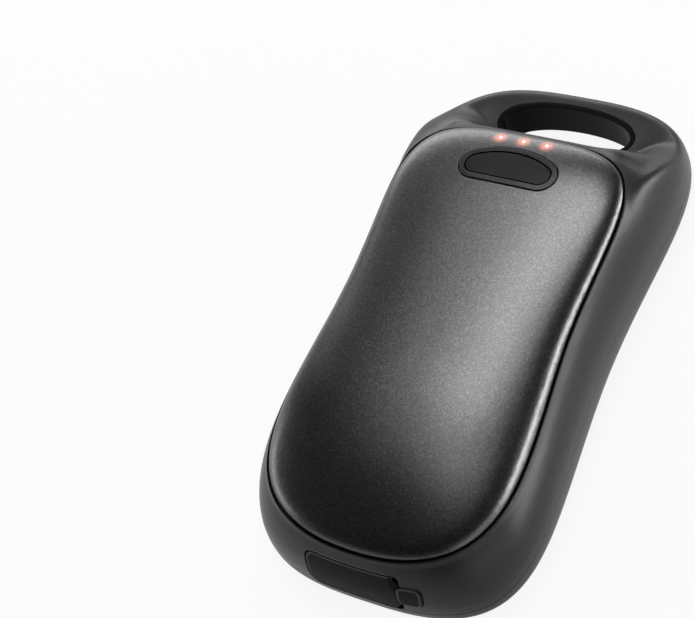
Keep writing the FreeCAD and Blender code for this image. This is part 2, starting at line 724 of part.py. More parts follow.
def port_notch():
    """The way through the nose for the charging socket."""
    return block("port_notch", around("0", "port_width + 2 * port_clear"), (NOSE, f"{CHARGE_SCREW_ROW}"),
                 (f"{CHARGE_TOP} - port_clear", f"{CHARGE_TOP} + port_height + port_clear"))


def finger_hole(extra):
    """The finger hole's outline, wider all round by an amount."""
    top = number("body_length / 2 - loop_bar")
    hole = Outline(size["hole_width"], 0, 0, top, top - size["hole_height"], HOLE_ROUND, HOLE_ROUND)
    points = [hole.inside(angle, -number(extra)) for angle in hole.even_angles(RING_COUNT // 2)]
    return prism(points, BELOW, ABOVE)


HOLE_ROUND = 2.1
hollow = fuse("hollow", hollow_area, charging_bay())
loop_hole = feature("loop_hole", finger_hole("liner_wall + liner_gap"))


class NoseSlope:
    """The slanted patch of the nose that carries the flap: x across, y up the slope, z straight out."""

    def __init__(self):
        low = number("seam_nose_height - flap_below_rim")
        high = low + size["flap_height"]
        first, last = (self.surface(0, z) for z in (low, high))
        self.rise = (last - first).normalize()
        self.out = FreeCAD.Vector(1, 0, 0).cross(self.rise)
        self.reach = last.distanceToPoint(first)
        self.middle = (first + last) * 0.5
        self.turn = FreeCAD.Rotation(FreeCAD.Vector(1, 0, 0), self.rise, self.out, "XYZ")

    @staticmethod
    def surface(x, z):
        """The point of the nose's outside at a place across and a height."""
        ray = Part.makeLine(FreeCAD.Vector(x, -FAR, z), FreeCAD.Vector(x, 0, z))
        inside = ray.common(pebble_shape)
        return min((vertex.Point for vertex in inside.Vertexes), key=lambda point: point.y)

    def at(self, x, along=0, out=0):
        return self.middle + FreeCAD.Vector(x, 0, 0) + self.rise * along + self.out * out

    def patch(self, left, right, height, corners):
        """A rounded rectangle that stands square to the slope, with its own left and right corners."""
        half = height / 2
        near, far = corners
        bend = 1 - math.sqrt(0.5)
        arcs = []
        corner_places = ((right, -half, far), (right, half, far), (left, half, near), (left, -half, near))
        for x, y, radius in corner_places:
            inward = FreeCAD.Vector(math.copysign(radius, left - x) if x == right else radius,
                                    -math.copysign(radius, y), 0)
            corner = FreeCAD.Vector(x, y, -DEPTH)
            ends = [corner + FreeCAD.Vector(inward.x, 0, 0), corner + FreeCAD.Vector(0, inward.y, 0)]
            if (x == right) == (y > 0):
                ends.reverse()
            arcs.append((ends[0], corner + inward * bend, ends[1]))
        edges = []
        for arc, following in zip(arcs, arcs[1:] + arcs[:1]):
            edges.append(Part.Arc(*arc).toShape())
            edges.append(Part.LineSegment(arc[2], following[0]).toShape())
        solid = Part.Face(Part.Wire(edges)).extrude(FreeCAD.Vector(0, 0, 2 * DEPTH))
        solid.Placement = FreeCAD.Placement(self.middle, self.turn)
        return solid


DEPTH = 4.0
slope = NoseSlope()


def nose_core(label, depth):
    """What is left of the pebble below a depth, straight in from the slope."""
    core = pebble_shape.copy()
    core.translate(slope.out * -number(depth))
    return feature(label, core)


def nose_layer(label, area):
    """The outermost layer of an area of the nose, as thick as the flap."""
    return cut(label, common(label + "_block", area, outside), nose_core(label + "_core", "flap_thick"))


def flap_area(label, extra, beyond, low):
    """The flap's outline, wider by an amount and past the hinge line by another, above a level."""
    grow = number(extra)
    corner = size["flap_corner"] + grow
    area = slope.patch(-size["flap_left"] - grow, size["flap_right"] + number(beyond),
                       slope.reach + 2 * grow, (corner, size["anchor_corner"]))
    above = block(label + "_above", EVERYWHERE, EVERYWHERE, (low, ABOVE_ALL))
    return common(label, feature(label + "_area", area), above)


def anchor_area(label, extra):
    grow = number(extra)
    left = number("flap_right + bead_width / 2 + hinge_gap")
    corner = size["anchor_corner"] + grow
    return feature(label, slope.patch(left - grow, left + size["anchor_width"] + grow,
                                      size["anchor_height"] + 2 * grow, (corner, corner)))


def flap_recess():
    hole = flap_area("flap_hole", "flap_gap", "hinge_room", "parting_nose + flap_lip")
    areas = fuse("recess_area", hole, anchor_area("anchor_hole", "liner_gap"))
    return cut("flap_recess", areas, nose_core("recess_core", "flap_thick + flap_seat"))


def mid_frame():
    """The frame that carries the panel, the boards and the upper half of the finger loop."""
    upper = common("frame_form", outside, parting_slab("above_parting", 0, ABOVE))
    room = common("frame_room", hollow, below_ledge)
    opening = common("panel_opening", rim_area, above_ledge)
    shell = cut("frame_shell", upper, room, opening, ledge_inside, loop_hole)
    ears = []
    for index, (across, row) in enumerate(CASE_SCREWS):
        inner = f"abs({across}) - {BOSS_WIDTH} / 2"
        ears.append(block(f"ear_{index}", side_range(across, inner), around(row, BOSS_WIDTH),
                          (EAR_LOW, EAR_TOP)))
    for index, (across, row) in enumerate(CONTROL_SCREWS):
        inner = f"abs({across}) - {POST_WIDTH} / 2"
        ears.append(block(f"shelf_{index}", side_range(across, inner), around(row, POST_WIDTH),
                          (f"{CONTROL_LOW} - ear_thick", CONTROL_LOW)))
    seats = common("frame_seats", fuse("frame_ears", *ears), rim_area)
    holes = [drum(f"ear_hole_{index}", across, row, ("0", ABOVE_ALL), "case_screw + 2 * screw_play")
             for index, (across, row) in enumerate(CASE_SCREWS)]
    holes += [drum(f"shelf_hole_{index}", across, row, ("0", ABOVE_ALL), "board_screw + 2 * screw_play")
              for index, (across, row) in enumerate(CONTROL_SCREWS)]
    return cut("mid_frame", fuse("frame_body", shell, seats), port_notch(), flap_recess(), *holes)


FLOOR = "floor_wall"


def back_cover():
    """The tray that closes the back, with screw bosses and posts for the charging board."""
    lower = common("cover_form", outside, parting_slab("below_parting", size["parting_gap"], BELOW - FAR))
    floor = block("cover_floor", EVERYWHERE, EVERYWHERE, ("0", FLOOR))
    room = cut("cover_room", hollow, floor)
    shell = cut("cover_shell", lower, room, loop_hole)
    posts = [drum(f"boss_{index}", across, row, ("floor_wall / 2", BOSS_TOP), BOSS_WIDTH)
             for index, (across, row) in enumerate(CASE_SCREWS)]
    posts += [drum(f"post_{index}", across, row, ("floor_wall / 2", CHARGE_LOW), POST_WIDTH)
              for index, (across, row) in enumerate(CHARGE_SCREWS + CHARGE_POSTS)]
    boss_hole = (f"{EAR_TOP} - case_screw_length - ear_thick", ABOVE_ALL)
    holes = [drum(f"boss_hole_{index}", across, row, boss_hole, "case_screw + 2 * screw_play")
             for index, (across, row) in enumerate(CASE_SCREWS)]
    post_hole = (f"{CHARGE_TOP} - board_screw_length - board_thick", ABOVE_ALL)
    holes += [drum(f"post_hole_{index}", across, row, post_hole, "board_screw + 2 * screw_play")
              for index, (across, row) in enumerate(CHARGE_SCREWS)]
    return cut("back_cover", fuse("cover_body", shell, *posts), *holes)


def loop_liner():
    """The ring that lines the finger hole through both shells."""
    ring = cut("liner_ring", feature("liner_outside", finger_hole("liner_wall")),
               feature("liner_inside", finger_hole("0")))
    return common("loop_liner", outside, ring)


# The front panel with its button and lights
GASKET_TOP = "(ledge_drop - gasket_thick)"
SKIRT_LOW = ("ledge_drop - gasket_thick - bond_gap", "ledge_nose_drop - gasket_thick - bond_gap")
PANEL_UNDER = "panel_wall + bond_gap"
BEZEL_LOW = f"({PANEL_UNDER} + flange_thick)"
CAP_FLANGE_TOP = f"({BEZEL_LOW} + cap_play)"
CAP_LOW = f"({CAP_FLANGE_TOP} + flange_thick)"


def bean(label, grow):
    """The button's outline, an arch over a straight side with round corners, drawn larger all round."""
    extra = number(grow)
    arch, corner = size["button_arch"] + extra, size["button_corner"] + extra
    centre = FreeCAD.Vector(0, number(BUTTON_TOP) - size["button_arch"], BELOW)
    side = number(BUTTON_LOW) - extra
    lift = side + corner - centre.y
    reach = math.sqrt((arch - corner) ** 2 - lift ** 2)
    turn = math.atan2(lift, reach)

    def on_corner(sign, angle):
        across = sign * (reach + corner * math.cos(angle))
        return centre + FreeCAD.Vector(across, lift + corner * math.sin(angle), 0)

    half = (turn - math.pi / 2) / 2
    right = [on_corner(1, angle) for angle in (-math.pi / 2, half, turn)]
    left = [on_corner(-1, angle) for angle in (turn, half, -math.pi / 2)]
    top = centre + FreeCAD.Vector(0, arch, 0)
    edges = [Part.Arc(*right), Part.Arc(right[2], top, left[0]), Part.Arc(*left),
             Part.LineSegment(left[2], right[0])]
    wire = Part.Wire([edge.toShape() for edge in edges])
    return feature(label, Part.Face(wire).extrude(FreeCAD.Vector(0, 0, ABOVE - BELOW)))


def light_places():
    return [(f"{index} * light_pitch", LIGHT_ROW) for index in (-1, 0, 1)]


def front_panel():
    """The domed sheet with its turned-down edge, the button's opening and three light holes."""
    solid = common("panel_solid", panel_area, sunk_dome("0"), rim_slab("above_gasket", *SKIRT_LOW, ABOVE))
    inside = common("panel_room", panel_inside, sunk_dome("panel_wall"))
    holes = [drum(f"light_hole_{index}", across, row, ("0", ABOVE_ALL), "light_hole")
             for index, (across, row) in enumerate(light_places())]
    return cut("front_panel", solid, inside, bean("button_hole", "bezel_gap"), *holes)


def panel_gasket():
    """The seal that the panel's edge stands on."""
    ring = cut("gasket_ring", seam_prism("gasket_outside", "seam_gap + gasket_inset"),
               seam_prism("gasket_inside", "seam_gap + ledge_width - gasket_inset"))
    above = rim_slab("gasket_top", GASKET_TOP, "ledge_nose_drop - gasket_thick", ABOVE)
    return cut("panel_gasket", common("gasket_block", ring, above_ledge), above)


def button_bezel():
    """The ring round the button, held by a flange below the panel."""
    opening = bean("bezel_inside", "-bezel_width")
    ring = cut("bezel_ring", bean("bezel_outside", "0"), opening)
    rim = under_dome("bezel_rim", ring, "-bezel_proud", BEZEL_LOW)
    flange = under_dome("bezel_flange", cut("bezel_skirt", bean("bezel_wide", "flange_width"), opening),
                        PANEL_UNDER, BEZEL_LOW)
    return fuse("button_bezel", rim, flange)


def button_cap():
    """The cap, held by a flange below the bezel, with a stem that reaches the switch."""
    face = under_dome("cap_face", bean("cap_outline", "-bezel_width - cap_gap"), "0", CAP_LOW)
    flange = under_dome("cap_flange", bean("cap_wide", "-bezel_width - cap_gap + flange_width"),
                        CAP_FLANGE_TOP, CAP_LOW)
    stem = drum("cap_stem", "0", BUTTON_MIDDLE, (PLUNGER_TOP, f"panel_crown - {CAP_FLANGE_TOP}"),
                "stem_width")
    return fuse("button_cap", face, flange, stem)


SWITCH_BASE = f"({CONTROL_TOP} + switch_height / 4)"


def tact_switch():
    well = drum("switch_well", "0", BUTTON_MIDDLE, (SWITCH_BASE, ABOVE_ALL),
                "plunger_width + 2 * plunger_gap")
    body = plate("switch_body", ("switch_size", "switch_size"), (CONTROL_TOP, SWITCH_TOP),
                 ("0", BUTTON_MIDDLE))
    return cut("tact_switch", body, well)


def switch_plunger():
    low = f"{SWITCH_BASE} + button_travel + plunger_gap"
    return drum("switch_plunger", "0", BUTTON_MIDDLE, (low, PLUNGER_TOP), "plunger_width")


GUIDE_START = f"({BUTTON_TOP} + flange_width + fit_gap)"
GUIDE_STEP = f"({GUIDE_START} + light_bar)"
GUIDE_END = f"({SEAM_TOP} - seam_gap - panel_wall - fit_gap)"
LED_TOP = f"({CONTROL_TOP} + led_height)"
LED_ROW = f"({GUIDE_START} + led_size / 2)"


def light_guide():
    """A clear bar above the light-emitting chips, with three pins that fill the panel's holes."""
    across = around("0", "2 * light_pitch + 2 * led_size")
    bar = block("guide_bar", across, (GUIDE_START, GUIDE_STEP), (f"{LED_TOP} + light_gap / 2", ABOVE_ALL))
    above_seal = (f"seam_ridge_height - {GASKET_TOP} + fit_gap", ABOVE_ALL)
    head = block("guide_head", across, (GUIDE_START, GUIDE_END), above_seal)
    low = common("guide_body", fuse("guide_blocks", bar, head), sunk_dome(PANEL_UNDER))
    pins = [drum(f"guide_pin_{index}", place, row, above_seal, "light_hole - 2 * light_gap")
            for index, (place, row) in enumerate(light_places())]
    tips = common("guide_pins", fuse("guide_posts", *pins), sunk_dome("0"))
    return fuse("light_guide", low, tips)


# The boards
def board(label, size_pair, height, middle, screws):
    body = plate(label + "_plate", size_pair, height, ("0", middle))
    holes = [drum(f"{label}_hole_{index}", across, row, ("0", ABOVE_ALL), "board_screw + 2 * screw_play")
             for index, (across, row) in enumerate(screws)]
    return cut(label, body, *holes)


def control_board():
    return board("control_board", ("control_width", "control_length"), (CONTROL_LOW, CONTROL_TOP),
                 f"{CONTROL_END} - control_length / 2", CONTROL_SCREWS)


def charge_board():
    return board("charge_board", ("charge_width", "charge_length"), (CHARGE_LOW, CHARGE_TOP),
                 f"{CHARGE_END} + charge_length / 2", CHARGE_SCREWS)


def control_chip():
    return plate("control_chip", ("chip_size", "chip_size"), (CONTROL_TOP, f"{CONTROL_TOP} + chip_height"),
                 (f"chip_size / 2 - {CONTROL_SCREW_PLACE}", f"{CONTROL_START} + chip_size"))


def indicator_leds():
    chip = plate("led_chip", ("led_size", "led_size"), ("0", "led_height"))
    return copies("indicator_leds", chip, [(across, LED_ROW, CONTROL_TOP) for across, _ in light_places()])


PORT_MOUTH = f"({NOSE} + port_to_nose)"
PORT_REAR = f"({PORT_MOUTH} + port_length)"
TONGUE_REAR = f"({PORT_REAR} - port_height / 2)"
SOCKET_ROUND = 0.45


def socket_form(label, inset, start, end):
    """A tube along the body with the charging socket's rounded section."""
    body, sketch = new_sketch(label, "XZ_Plane")
    width, height = (f"{side} - 2 * ({inset})" for side in ("port_width", "port_height"))
    half, reach = number(width) / 2, number(height) / 2
    draw(sketch, [(-half, -reach), (half, -reach), (half, reach), (-half, reach)])
    sketch.addConstraint(Sketcher.Constraint("Symmetric", 0, 1, 2, 1, -1, 1))
    measure(sketch, "DistanceX", (0, 1), (0, 2), width)
    measure(sketch, "DistanceY", (1, 1), (1, 2), height)
    bind(sketch, "AttachmentOffset.Base.y", PORT_CENTRE)
    bind(sketch, "AttachmentOffset.Base.z", f"-({end})")
    pad = body.newObject("PartDesign::Pad", label + "_pad")
    pad.Profile = sketch
    bind(pad, "Length", f"({end}) - ({start})")
    doc.recompute()
    lengthwise = [f"Edge{index}" for index, edge in enumerate(pad.Shape.Edges, start=1)
                  if edge.BoundBox.YLength > 1e-6]
    rounding = body.newObject("PartDesign::Fillet", label + "_rounding")
    rounding.Base = (pad, lengthwise)
    bind(rounding, "Radius", f"({height}) * {SOCKET_ROUND}")
    return body


def usb_shell():
    tube = socket_form("socket_outside", "0", PORT_MOUTH, PORT_REAR)
    room = socket_form("socket_inside", "port_wall", f"{PORT_MOUTH} - port_wall", TONGUE_REAR)
    return cut("usb_shell", tube, room)


def usb_tongue():
    """The contact tongue, which stands on the socket's rear wall."""
    return block("usb_tongue", around("0", "tongue_width"),
                 (f"{PORT_MOUTH} + port_height / 2", TONGUE_REAR), around(PORT_CENTRE, "tongue_thick"))


PARTS_ROW = f"({PORT_REAR} + inductor_size / 2 - port_height / 2)"


def charge_chip():
    return plate("charge_chip", ("chip_size", "chip_size"), (CHARGE_TOP, f"{CHARGE_TOP} + chip_height"),
                 (f"chip_size / 2 - {CHARGE_SCREW_PLACE}", PARTS_ROW))


def power_inductor():
    return plate("power_inductor", ("inductor_size", "inductor_size"),
                 (CHARGE_TOP, f"{CHARGE_TOP} + inductor_height"),
                 (f"{CHARGE_SCREW_PLACE} - inductor_size / 2", PARTS_ROW), "inductor_size / 8")


def chip_capacitors():
    part = plate("capacitor", ("capacitor_width", "capacitor_length"), ("0", "capacitor_width"))
    row = f"{PORT_REAR} + capacitor_length"
    return copies("chip_capacitors", part,
                  [(f"{index} * capacitor_pitch", row, CHARGE_TOP) for index in (-2, -1, 0, 1, 2)])


# The battery, the heaters and the wiring
PLATE_TOP = "(floor_wall + plate_thick)"
HEATER_TOP = f"({PLATE_TOP} + heater_thick)"
CELL_SIZE = (CELL_WIDTH, CELL_LENGTH)
CELL_PLACE = ("0", CARRIER_MIDDLE)


def battery_carrier():
    """A frame on the floor round the battery, with a slot for the battery's tabs."""
    top = f"{CELL_TOP} - carrier_lower"
    ring = cut("carrier_ring",
               plate("carrier_outside", ("carrier_width", CARRIER_LENGTH), (FLOOR, top), CELL_PLACE,
                     "carrier_wall + fit_gap"),
               block("carrier_room", around("0", "carrier_width - 2 * carrier_wall"),
                     around(CARRIER_MIDDLE, f"{CARRIER_LENGTH} - 2 * carrier_wall"), ("0", ABOVE_ALL)))
    slot = block("tab_slot", around("0", "2 * tab_place + tab_width + 2 * fit_gap"),
                 (f"{CARRIER_NOSE} - carrier_wall", f"{CARRIER_NOSE} + 2 * carrier_wall"),
                 (f"{CHARGE_TOP} - fit_gap", f"{CHARGE_TOP} + tab_thick + fit_gap"))
    return cut("battery_carrier", ring, slot)


def battery_tabs():
    start = f"{CHARGE_REAR} - tab_reach"
    end = f"{CARRIER_MIDDLE} - {CELL_LENGTH} / 2"
    tab = block("battery_tab", around("0", "tab_width"), (start, end),
                (CHARGE_TOP, f"{CHARGE_TOP} + tab_thick"))
    return copies("battery_tabs", tab, [(across, "0", "0") for across in pair("tab_place")])


def ribbon_cable():
    """The flat cable from the control board over the battery down to the charging board."""
    control = number(CONTROL_START)
    charge = number(CHARGE_REAR)
    land, thick = size["ribbon_land"], size["ribbon_thick"]
    board_top, cell, low = (number(text) for text in (CONTROL_TOP, CELL_TOP, CHARGE_TOP))
    end = number(f"{CARRIER_MIDDLE} + {CELL_LENGTH} / 2")
    over = number(f"{CARRIER_NOSE} - fit_gap")
    route = [(control + land, board_top), (control - thick, board_top), (end, cell), (over, cell),
             (charge - thick, low), (charge - land, low)]
    back = [(y, z + thick) for y, z in route]
    back[3] = (over - thick, cell + thick)
    back[4] = (charge - 2 * thick, low + thick)
    points = [FreeCAD.Vector(-size["ribbon_width"] / 2, *place) for place in route + back[::-1] + route[:1]]
    face = Part.Face(Part.makePolygon(points))
    return feature("ribbon_cable", face.extrude(FreeCAD.Vector(size["ribbon_width"], 0, 0)))


FRONT_HEATER_TOP = f"({PANEL_UNDER})"
FRONT_HEATER_LOW = f"({FRONT_HEATER_TOP} + heater_thick)"


def front_heater():
    area = cut("heater_area", seam_prism("heater_outline", "seam_gap + heater_inset"),
               block("heater_end", EVERYWHERE, (f"{BUTTON_LOW} - heater_to_button", "body_length"),
                     EVERYWHERE))
    return under_dome("front_heater", area, FRONT_HEATER_TOP, FRONT_HEATER_LOW)


def front_foam():
    """The pad that presses the front heating film against the panel."""
    start, end = around(CARRIER_MIDDLE, CELL_LENGTH)
    pad = block("foam_block", around("0", CELL_WIDTH), (start, f"{end} - pad_short"),
                (f"{CELL_TOP} + ribbon_thick", ABOVE_ALL))
    return common("front_foam", pad, sunk_dome(f"{FRONT_HEATER_LOW} + bond_gap"))


def thermistor():
    start = f"{CARRIER_MIDDLE} + {CELL_LENGTH} / 2 - pad_short / 2"
    return plate("thermistor", ("sensor_size / 2", "sensor_size"),
                 (CELL_TOP, f"{CELL_TOP} + sensor_size / 3"), (f"{CELL_WIDTH} / 4", start))


# The port flap
def hinge_line():
    """A point on the flap's hinge line, halfway up the slope."""
    place = slope.at(size["flap_right"])
    ray = Part.makeLine(place + slope.out * DEPTH, place - slope.out * DEPTH).common(pebble_shape)
    top = max((vertex.Point for vertex in ray.Vertexes), key=lambda point: point.dot(slope.out))
    return top - slope.out * size["bead_depth"]


def port_flap():
    """The rubber flap over the port, with a bead along its hinge line."""
    bead = Part.makeCylinder(size["bead_width"] / 2, size["bead_length"],
                             hinge_line() - slope.rise * (size["bead_length"] / 2), slope.rise)
    outline = flap_area("flap_outline", "0", "0", "parting_nose + flap_lip + flap_gap")
    sheet = nose_layer("flap_sheet", outline)
    relief = block("socket_relief", around("0", "port_width + 2 * flap_gap"),
                   (f"{PORT_MOUTH} - flap_gap", "0"), ("0", f"{CHARGE_TOP} + port_height + flap_gap"))
    end = block("hinge_relief", ("flap_right - bead_width / 4", "body_length"), EVERYWHERE, EVERYWHERE)
    return fuse("port_flap", cut("flap_pad", sheet, relief, end), feature("flap_bead", bead))


def flap_anchor():
    return nose_layer("flap_anchor", anchor_area("anchor_outline", "0"))


MAKERS = (mid_frame, back_cover, loop_liner, front_panel, panel_gasket, button_bezel, button_cap,
          switch_plunger, tact_switch, light_guide, control_board, control_chip, indicator_leds, charge_board,
          usb_shell, usb_tongue, charge_chip, power_inductor, chip_capacitors, battery_carrier, battery_tabs,
          ribbon_cable, front_heater, front_foam, thermistor, flap_anchor, port_flap)
nodes = [make() for make in MAKERS]
nodes.append(plate("battery_cell", CELL_SIZE, (CELL_LOW, CELL_TOP), CELL_PLACE, "carrier_wall"))
nodes.append(plate("back_heat_plate", CELL_SIZE, (FLOOR, PLATE_TOP), CELL_PLACE, "carrier_wall"))
nodes.append(plate("back_heater", CELL_SIZE, (PLATE_TOP, HEATER_TOP), CELL_PLACE, "carrier_wall"))
nodes.append(plate("back_foam", CELL_SIZE, (HEATER_TOP, CELL_LOW), CELL_PLACE, "carrier_wall"))
nodes.append(copies("case_screws", screw("case_screw", "case_screw", "case_screw_length", "case_head"),
                    [(*place, EAR_TOP) for place in CASE_SCREWS]))
nodes.append(copies("board_screws", screw("small_screw", "board_screw", "board_screw_length", "board_head"),
                    [(*place, CONTROL_TOP) for place in CONTROL_SCREWS]
                    + [(*place, CHARGE_TOP) for place in CHARGE_SCREWS]))

doc.recompute()
failed = [thing.Label for thing in doc.Objects if {"Invalid", "Error"} & set(thing.State)]
failed += [node.Label for node in nodes if node.Shape.isNull() or not node.Shape.isValid()]
if failed:
    raise RuntimeError(f"these pieces failed: {failed}")
os.makedirs("parts", exist_ok=True)
for node in nodes:
    print(node.Label, len(node.Shape.Solids), round(node.Shape.Volume, 1))
    node.Shape.exportStep(f"parts/{node.Label}.step")
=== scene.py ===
"""Looks of a rechargeable hand warmer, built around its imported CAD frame."""
import json
import logging
import math
from dataclasses import dataclass
from enum import Enum
from functools import reduce
from typing import Any, Callable, Optional, Protocol, Sequence, Union

import bmesh
import bpy
import numpy as np
from mathutils import Matrix, Vector


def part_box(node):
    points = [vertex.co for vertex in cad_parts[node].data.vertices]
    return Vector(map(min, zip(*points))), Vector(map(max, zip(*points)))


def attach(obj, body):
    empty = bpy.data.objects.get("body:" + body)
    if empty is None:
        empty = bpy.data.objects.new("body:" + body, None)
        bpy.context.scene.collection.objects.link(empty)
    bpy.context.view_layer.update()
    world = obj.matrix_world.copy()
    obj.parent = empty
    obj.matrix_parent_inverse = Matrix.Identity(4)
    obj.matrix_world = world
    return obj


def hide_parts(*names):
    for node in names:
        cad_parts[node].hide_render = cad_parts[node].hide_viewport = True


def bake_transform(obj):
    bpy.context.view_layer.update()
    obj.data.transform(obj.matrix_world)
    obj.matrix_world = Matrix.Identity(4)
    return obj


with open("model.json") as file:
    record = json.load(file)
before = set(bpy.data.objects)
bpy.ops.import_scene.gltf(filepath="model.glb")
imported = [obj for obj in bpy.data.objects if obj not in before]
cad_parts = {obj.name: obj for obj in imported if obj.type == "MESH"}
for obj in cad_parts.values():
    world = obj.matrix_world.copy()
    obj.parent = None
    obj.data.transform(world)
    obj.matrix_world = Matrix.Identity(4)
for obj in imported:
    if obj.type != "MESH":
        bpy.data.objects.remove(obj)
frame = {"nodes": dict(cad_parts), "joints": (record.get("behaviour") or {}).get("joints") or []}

LOG = logging.getLogger("hand_warmer")
JOINTS = {joint["name"]: joint for joint in frame["joints"]}
MM = 0.001
MICRON = 0.000001
MERGE_DISTANCE = 0.5 * MICRON
SHARP_ANGLE = math.radians(32.0)
WHITE = (1.0, 1.0, 1.0)
BLACK = (0.0, 0.0, 0.0)
Colour = tuple[float, float, float]
Point = tuple[float, float, float]
Pair = tuple[float, float]
Number = Union[float, "Wire"]
Shaper = Callable[[bmesh.types.BMesh], None]


class Body(Enum):
    """Rigid bodies of the part."""

    HOUSING = "housing"
    BUTTON = "button"
    FLAP = "flap"


class Ray(Enum):
    """Rays that see the floor as a white background, by their Light Path output."""

    CAMERA = "Is Camera Ray"
    GLOSSY = "Is Glossy Ray"
    TRANSMISSION = "Is Transmission Ray"


class Output(Enum):
    """Output nodes of the node trees."""

    MATERIAL = "ShaderNodeOutputMaterial"
    WORLD = "ShaderNodeOutputWorld"


class Finish(Protocol):
    """Anything that makes a material."""

    def material(self) -> bpy.types.Material:
        """Builds the material."""


def shade(colour: Colour, factor: float, lift: float = 0.0) -> Colour:
    """A colour made lighter or darker, up to white."""
    return tuple(min(1.0, channel * factor + lift) for channel in colour)


def ease(share: float) -> float:
    """A smooth step from 0 to 1."""
    share = min(1.0, max(0.0, share))
    return share * share * (3.0 - 2.0 * share)


def between(ends: Pair, share: float) -> float:
    """A value between two ends."""
    return ends[0] + (ends[1] - ends[0]) * share


class Wire:
    """An output of a shader node that can be used in Python expressions."""

    def __init__(self, canvas: "Canvas", node: bpy.types.Node, out: Union[str, int]) -> None:
        """Keeps where the wire starts.

        Args:
            canvas: The canvas that the node stands on.
            node: The node.
            out: The name or index of the node's output.
        """
        self.canvas = canvas
        self.node = node
        self.out = out

    @property
    def socket(self) -> bpy.types.NodeSocket:
        """The socket that the wire starts from."""
        return self.node.outputs[self.out]

    def _math(self, operation: str, first: Number, second: Number) -> "Wire":
        """Adds one Math node."""
        return self.canvas.node("ShaderNodeMath", {"operation": operation}, {0: first, 1: second})

    def __add__(self, other: Number) -> "Wire":
        """Sum."""
        return self._math("ADD", self, other)

    __radd__ = __add__

    def __sub__(self, other: Number) -> "Wire":
        """Difference."""
        return self._math("SUBTRACT", self, other)

    def __rsub__(self, other: Number) -> "Wire":
        """Difference from a number."""
        return self._math("SUBTRACT", other, self)

    def __mul__(self, other: Number) -> "Wire":
        """Product."""
        return self._math("MULTIPLY", self, other)

    __rmul__ = __mul__

    def __pow__(self, other: Number) -> "Wire":
        """Power."""
        return self._math("POWER", self, other)

    def __abs__(self) -> "Wire":
        """Size without sign."""
        return self._math("ABSOLUTE", self, 0.0)

    def larger(self, other: Number) -> "Wire":
        """The larger of two values."""
        return self._math("MAXIMUM", self, other)

    def smaller(self, other: Number) -> "Wire":
        """The smaller of two values."""
        return self._math("MINIMUM", self, other)

    def step(self, low: float, high: float) -> "Wire":
        """A smooth step from 0 at low to 1 at high."""
        return self.canvas.node("ShaderNodeMapRange", {"interpolation_type": "SMOOTHSTEP"},
                                {"Value": self, "From Min": low, "From Max": high})


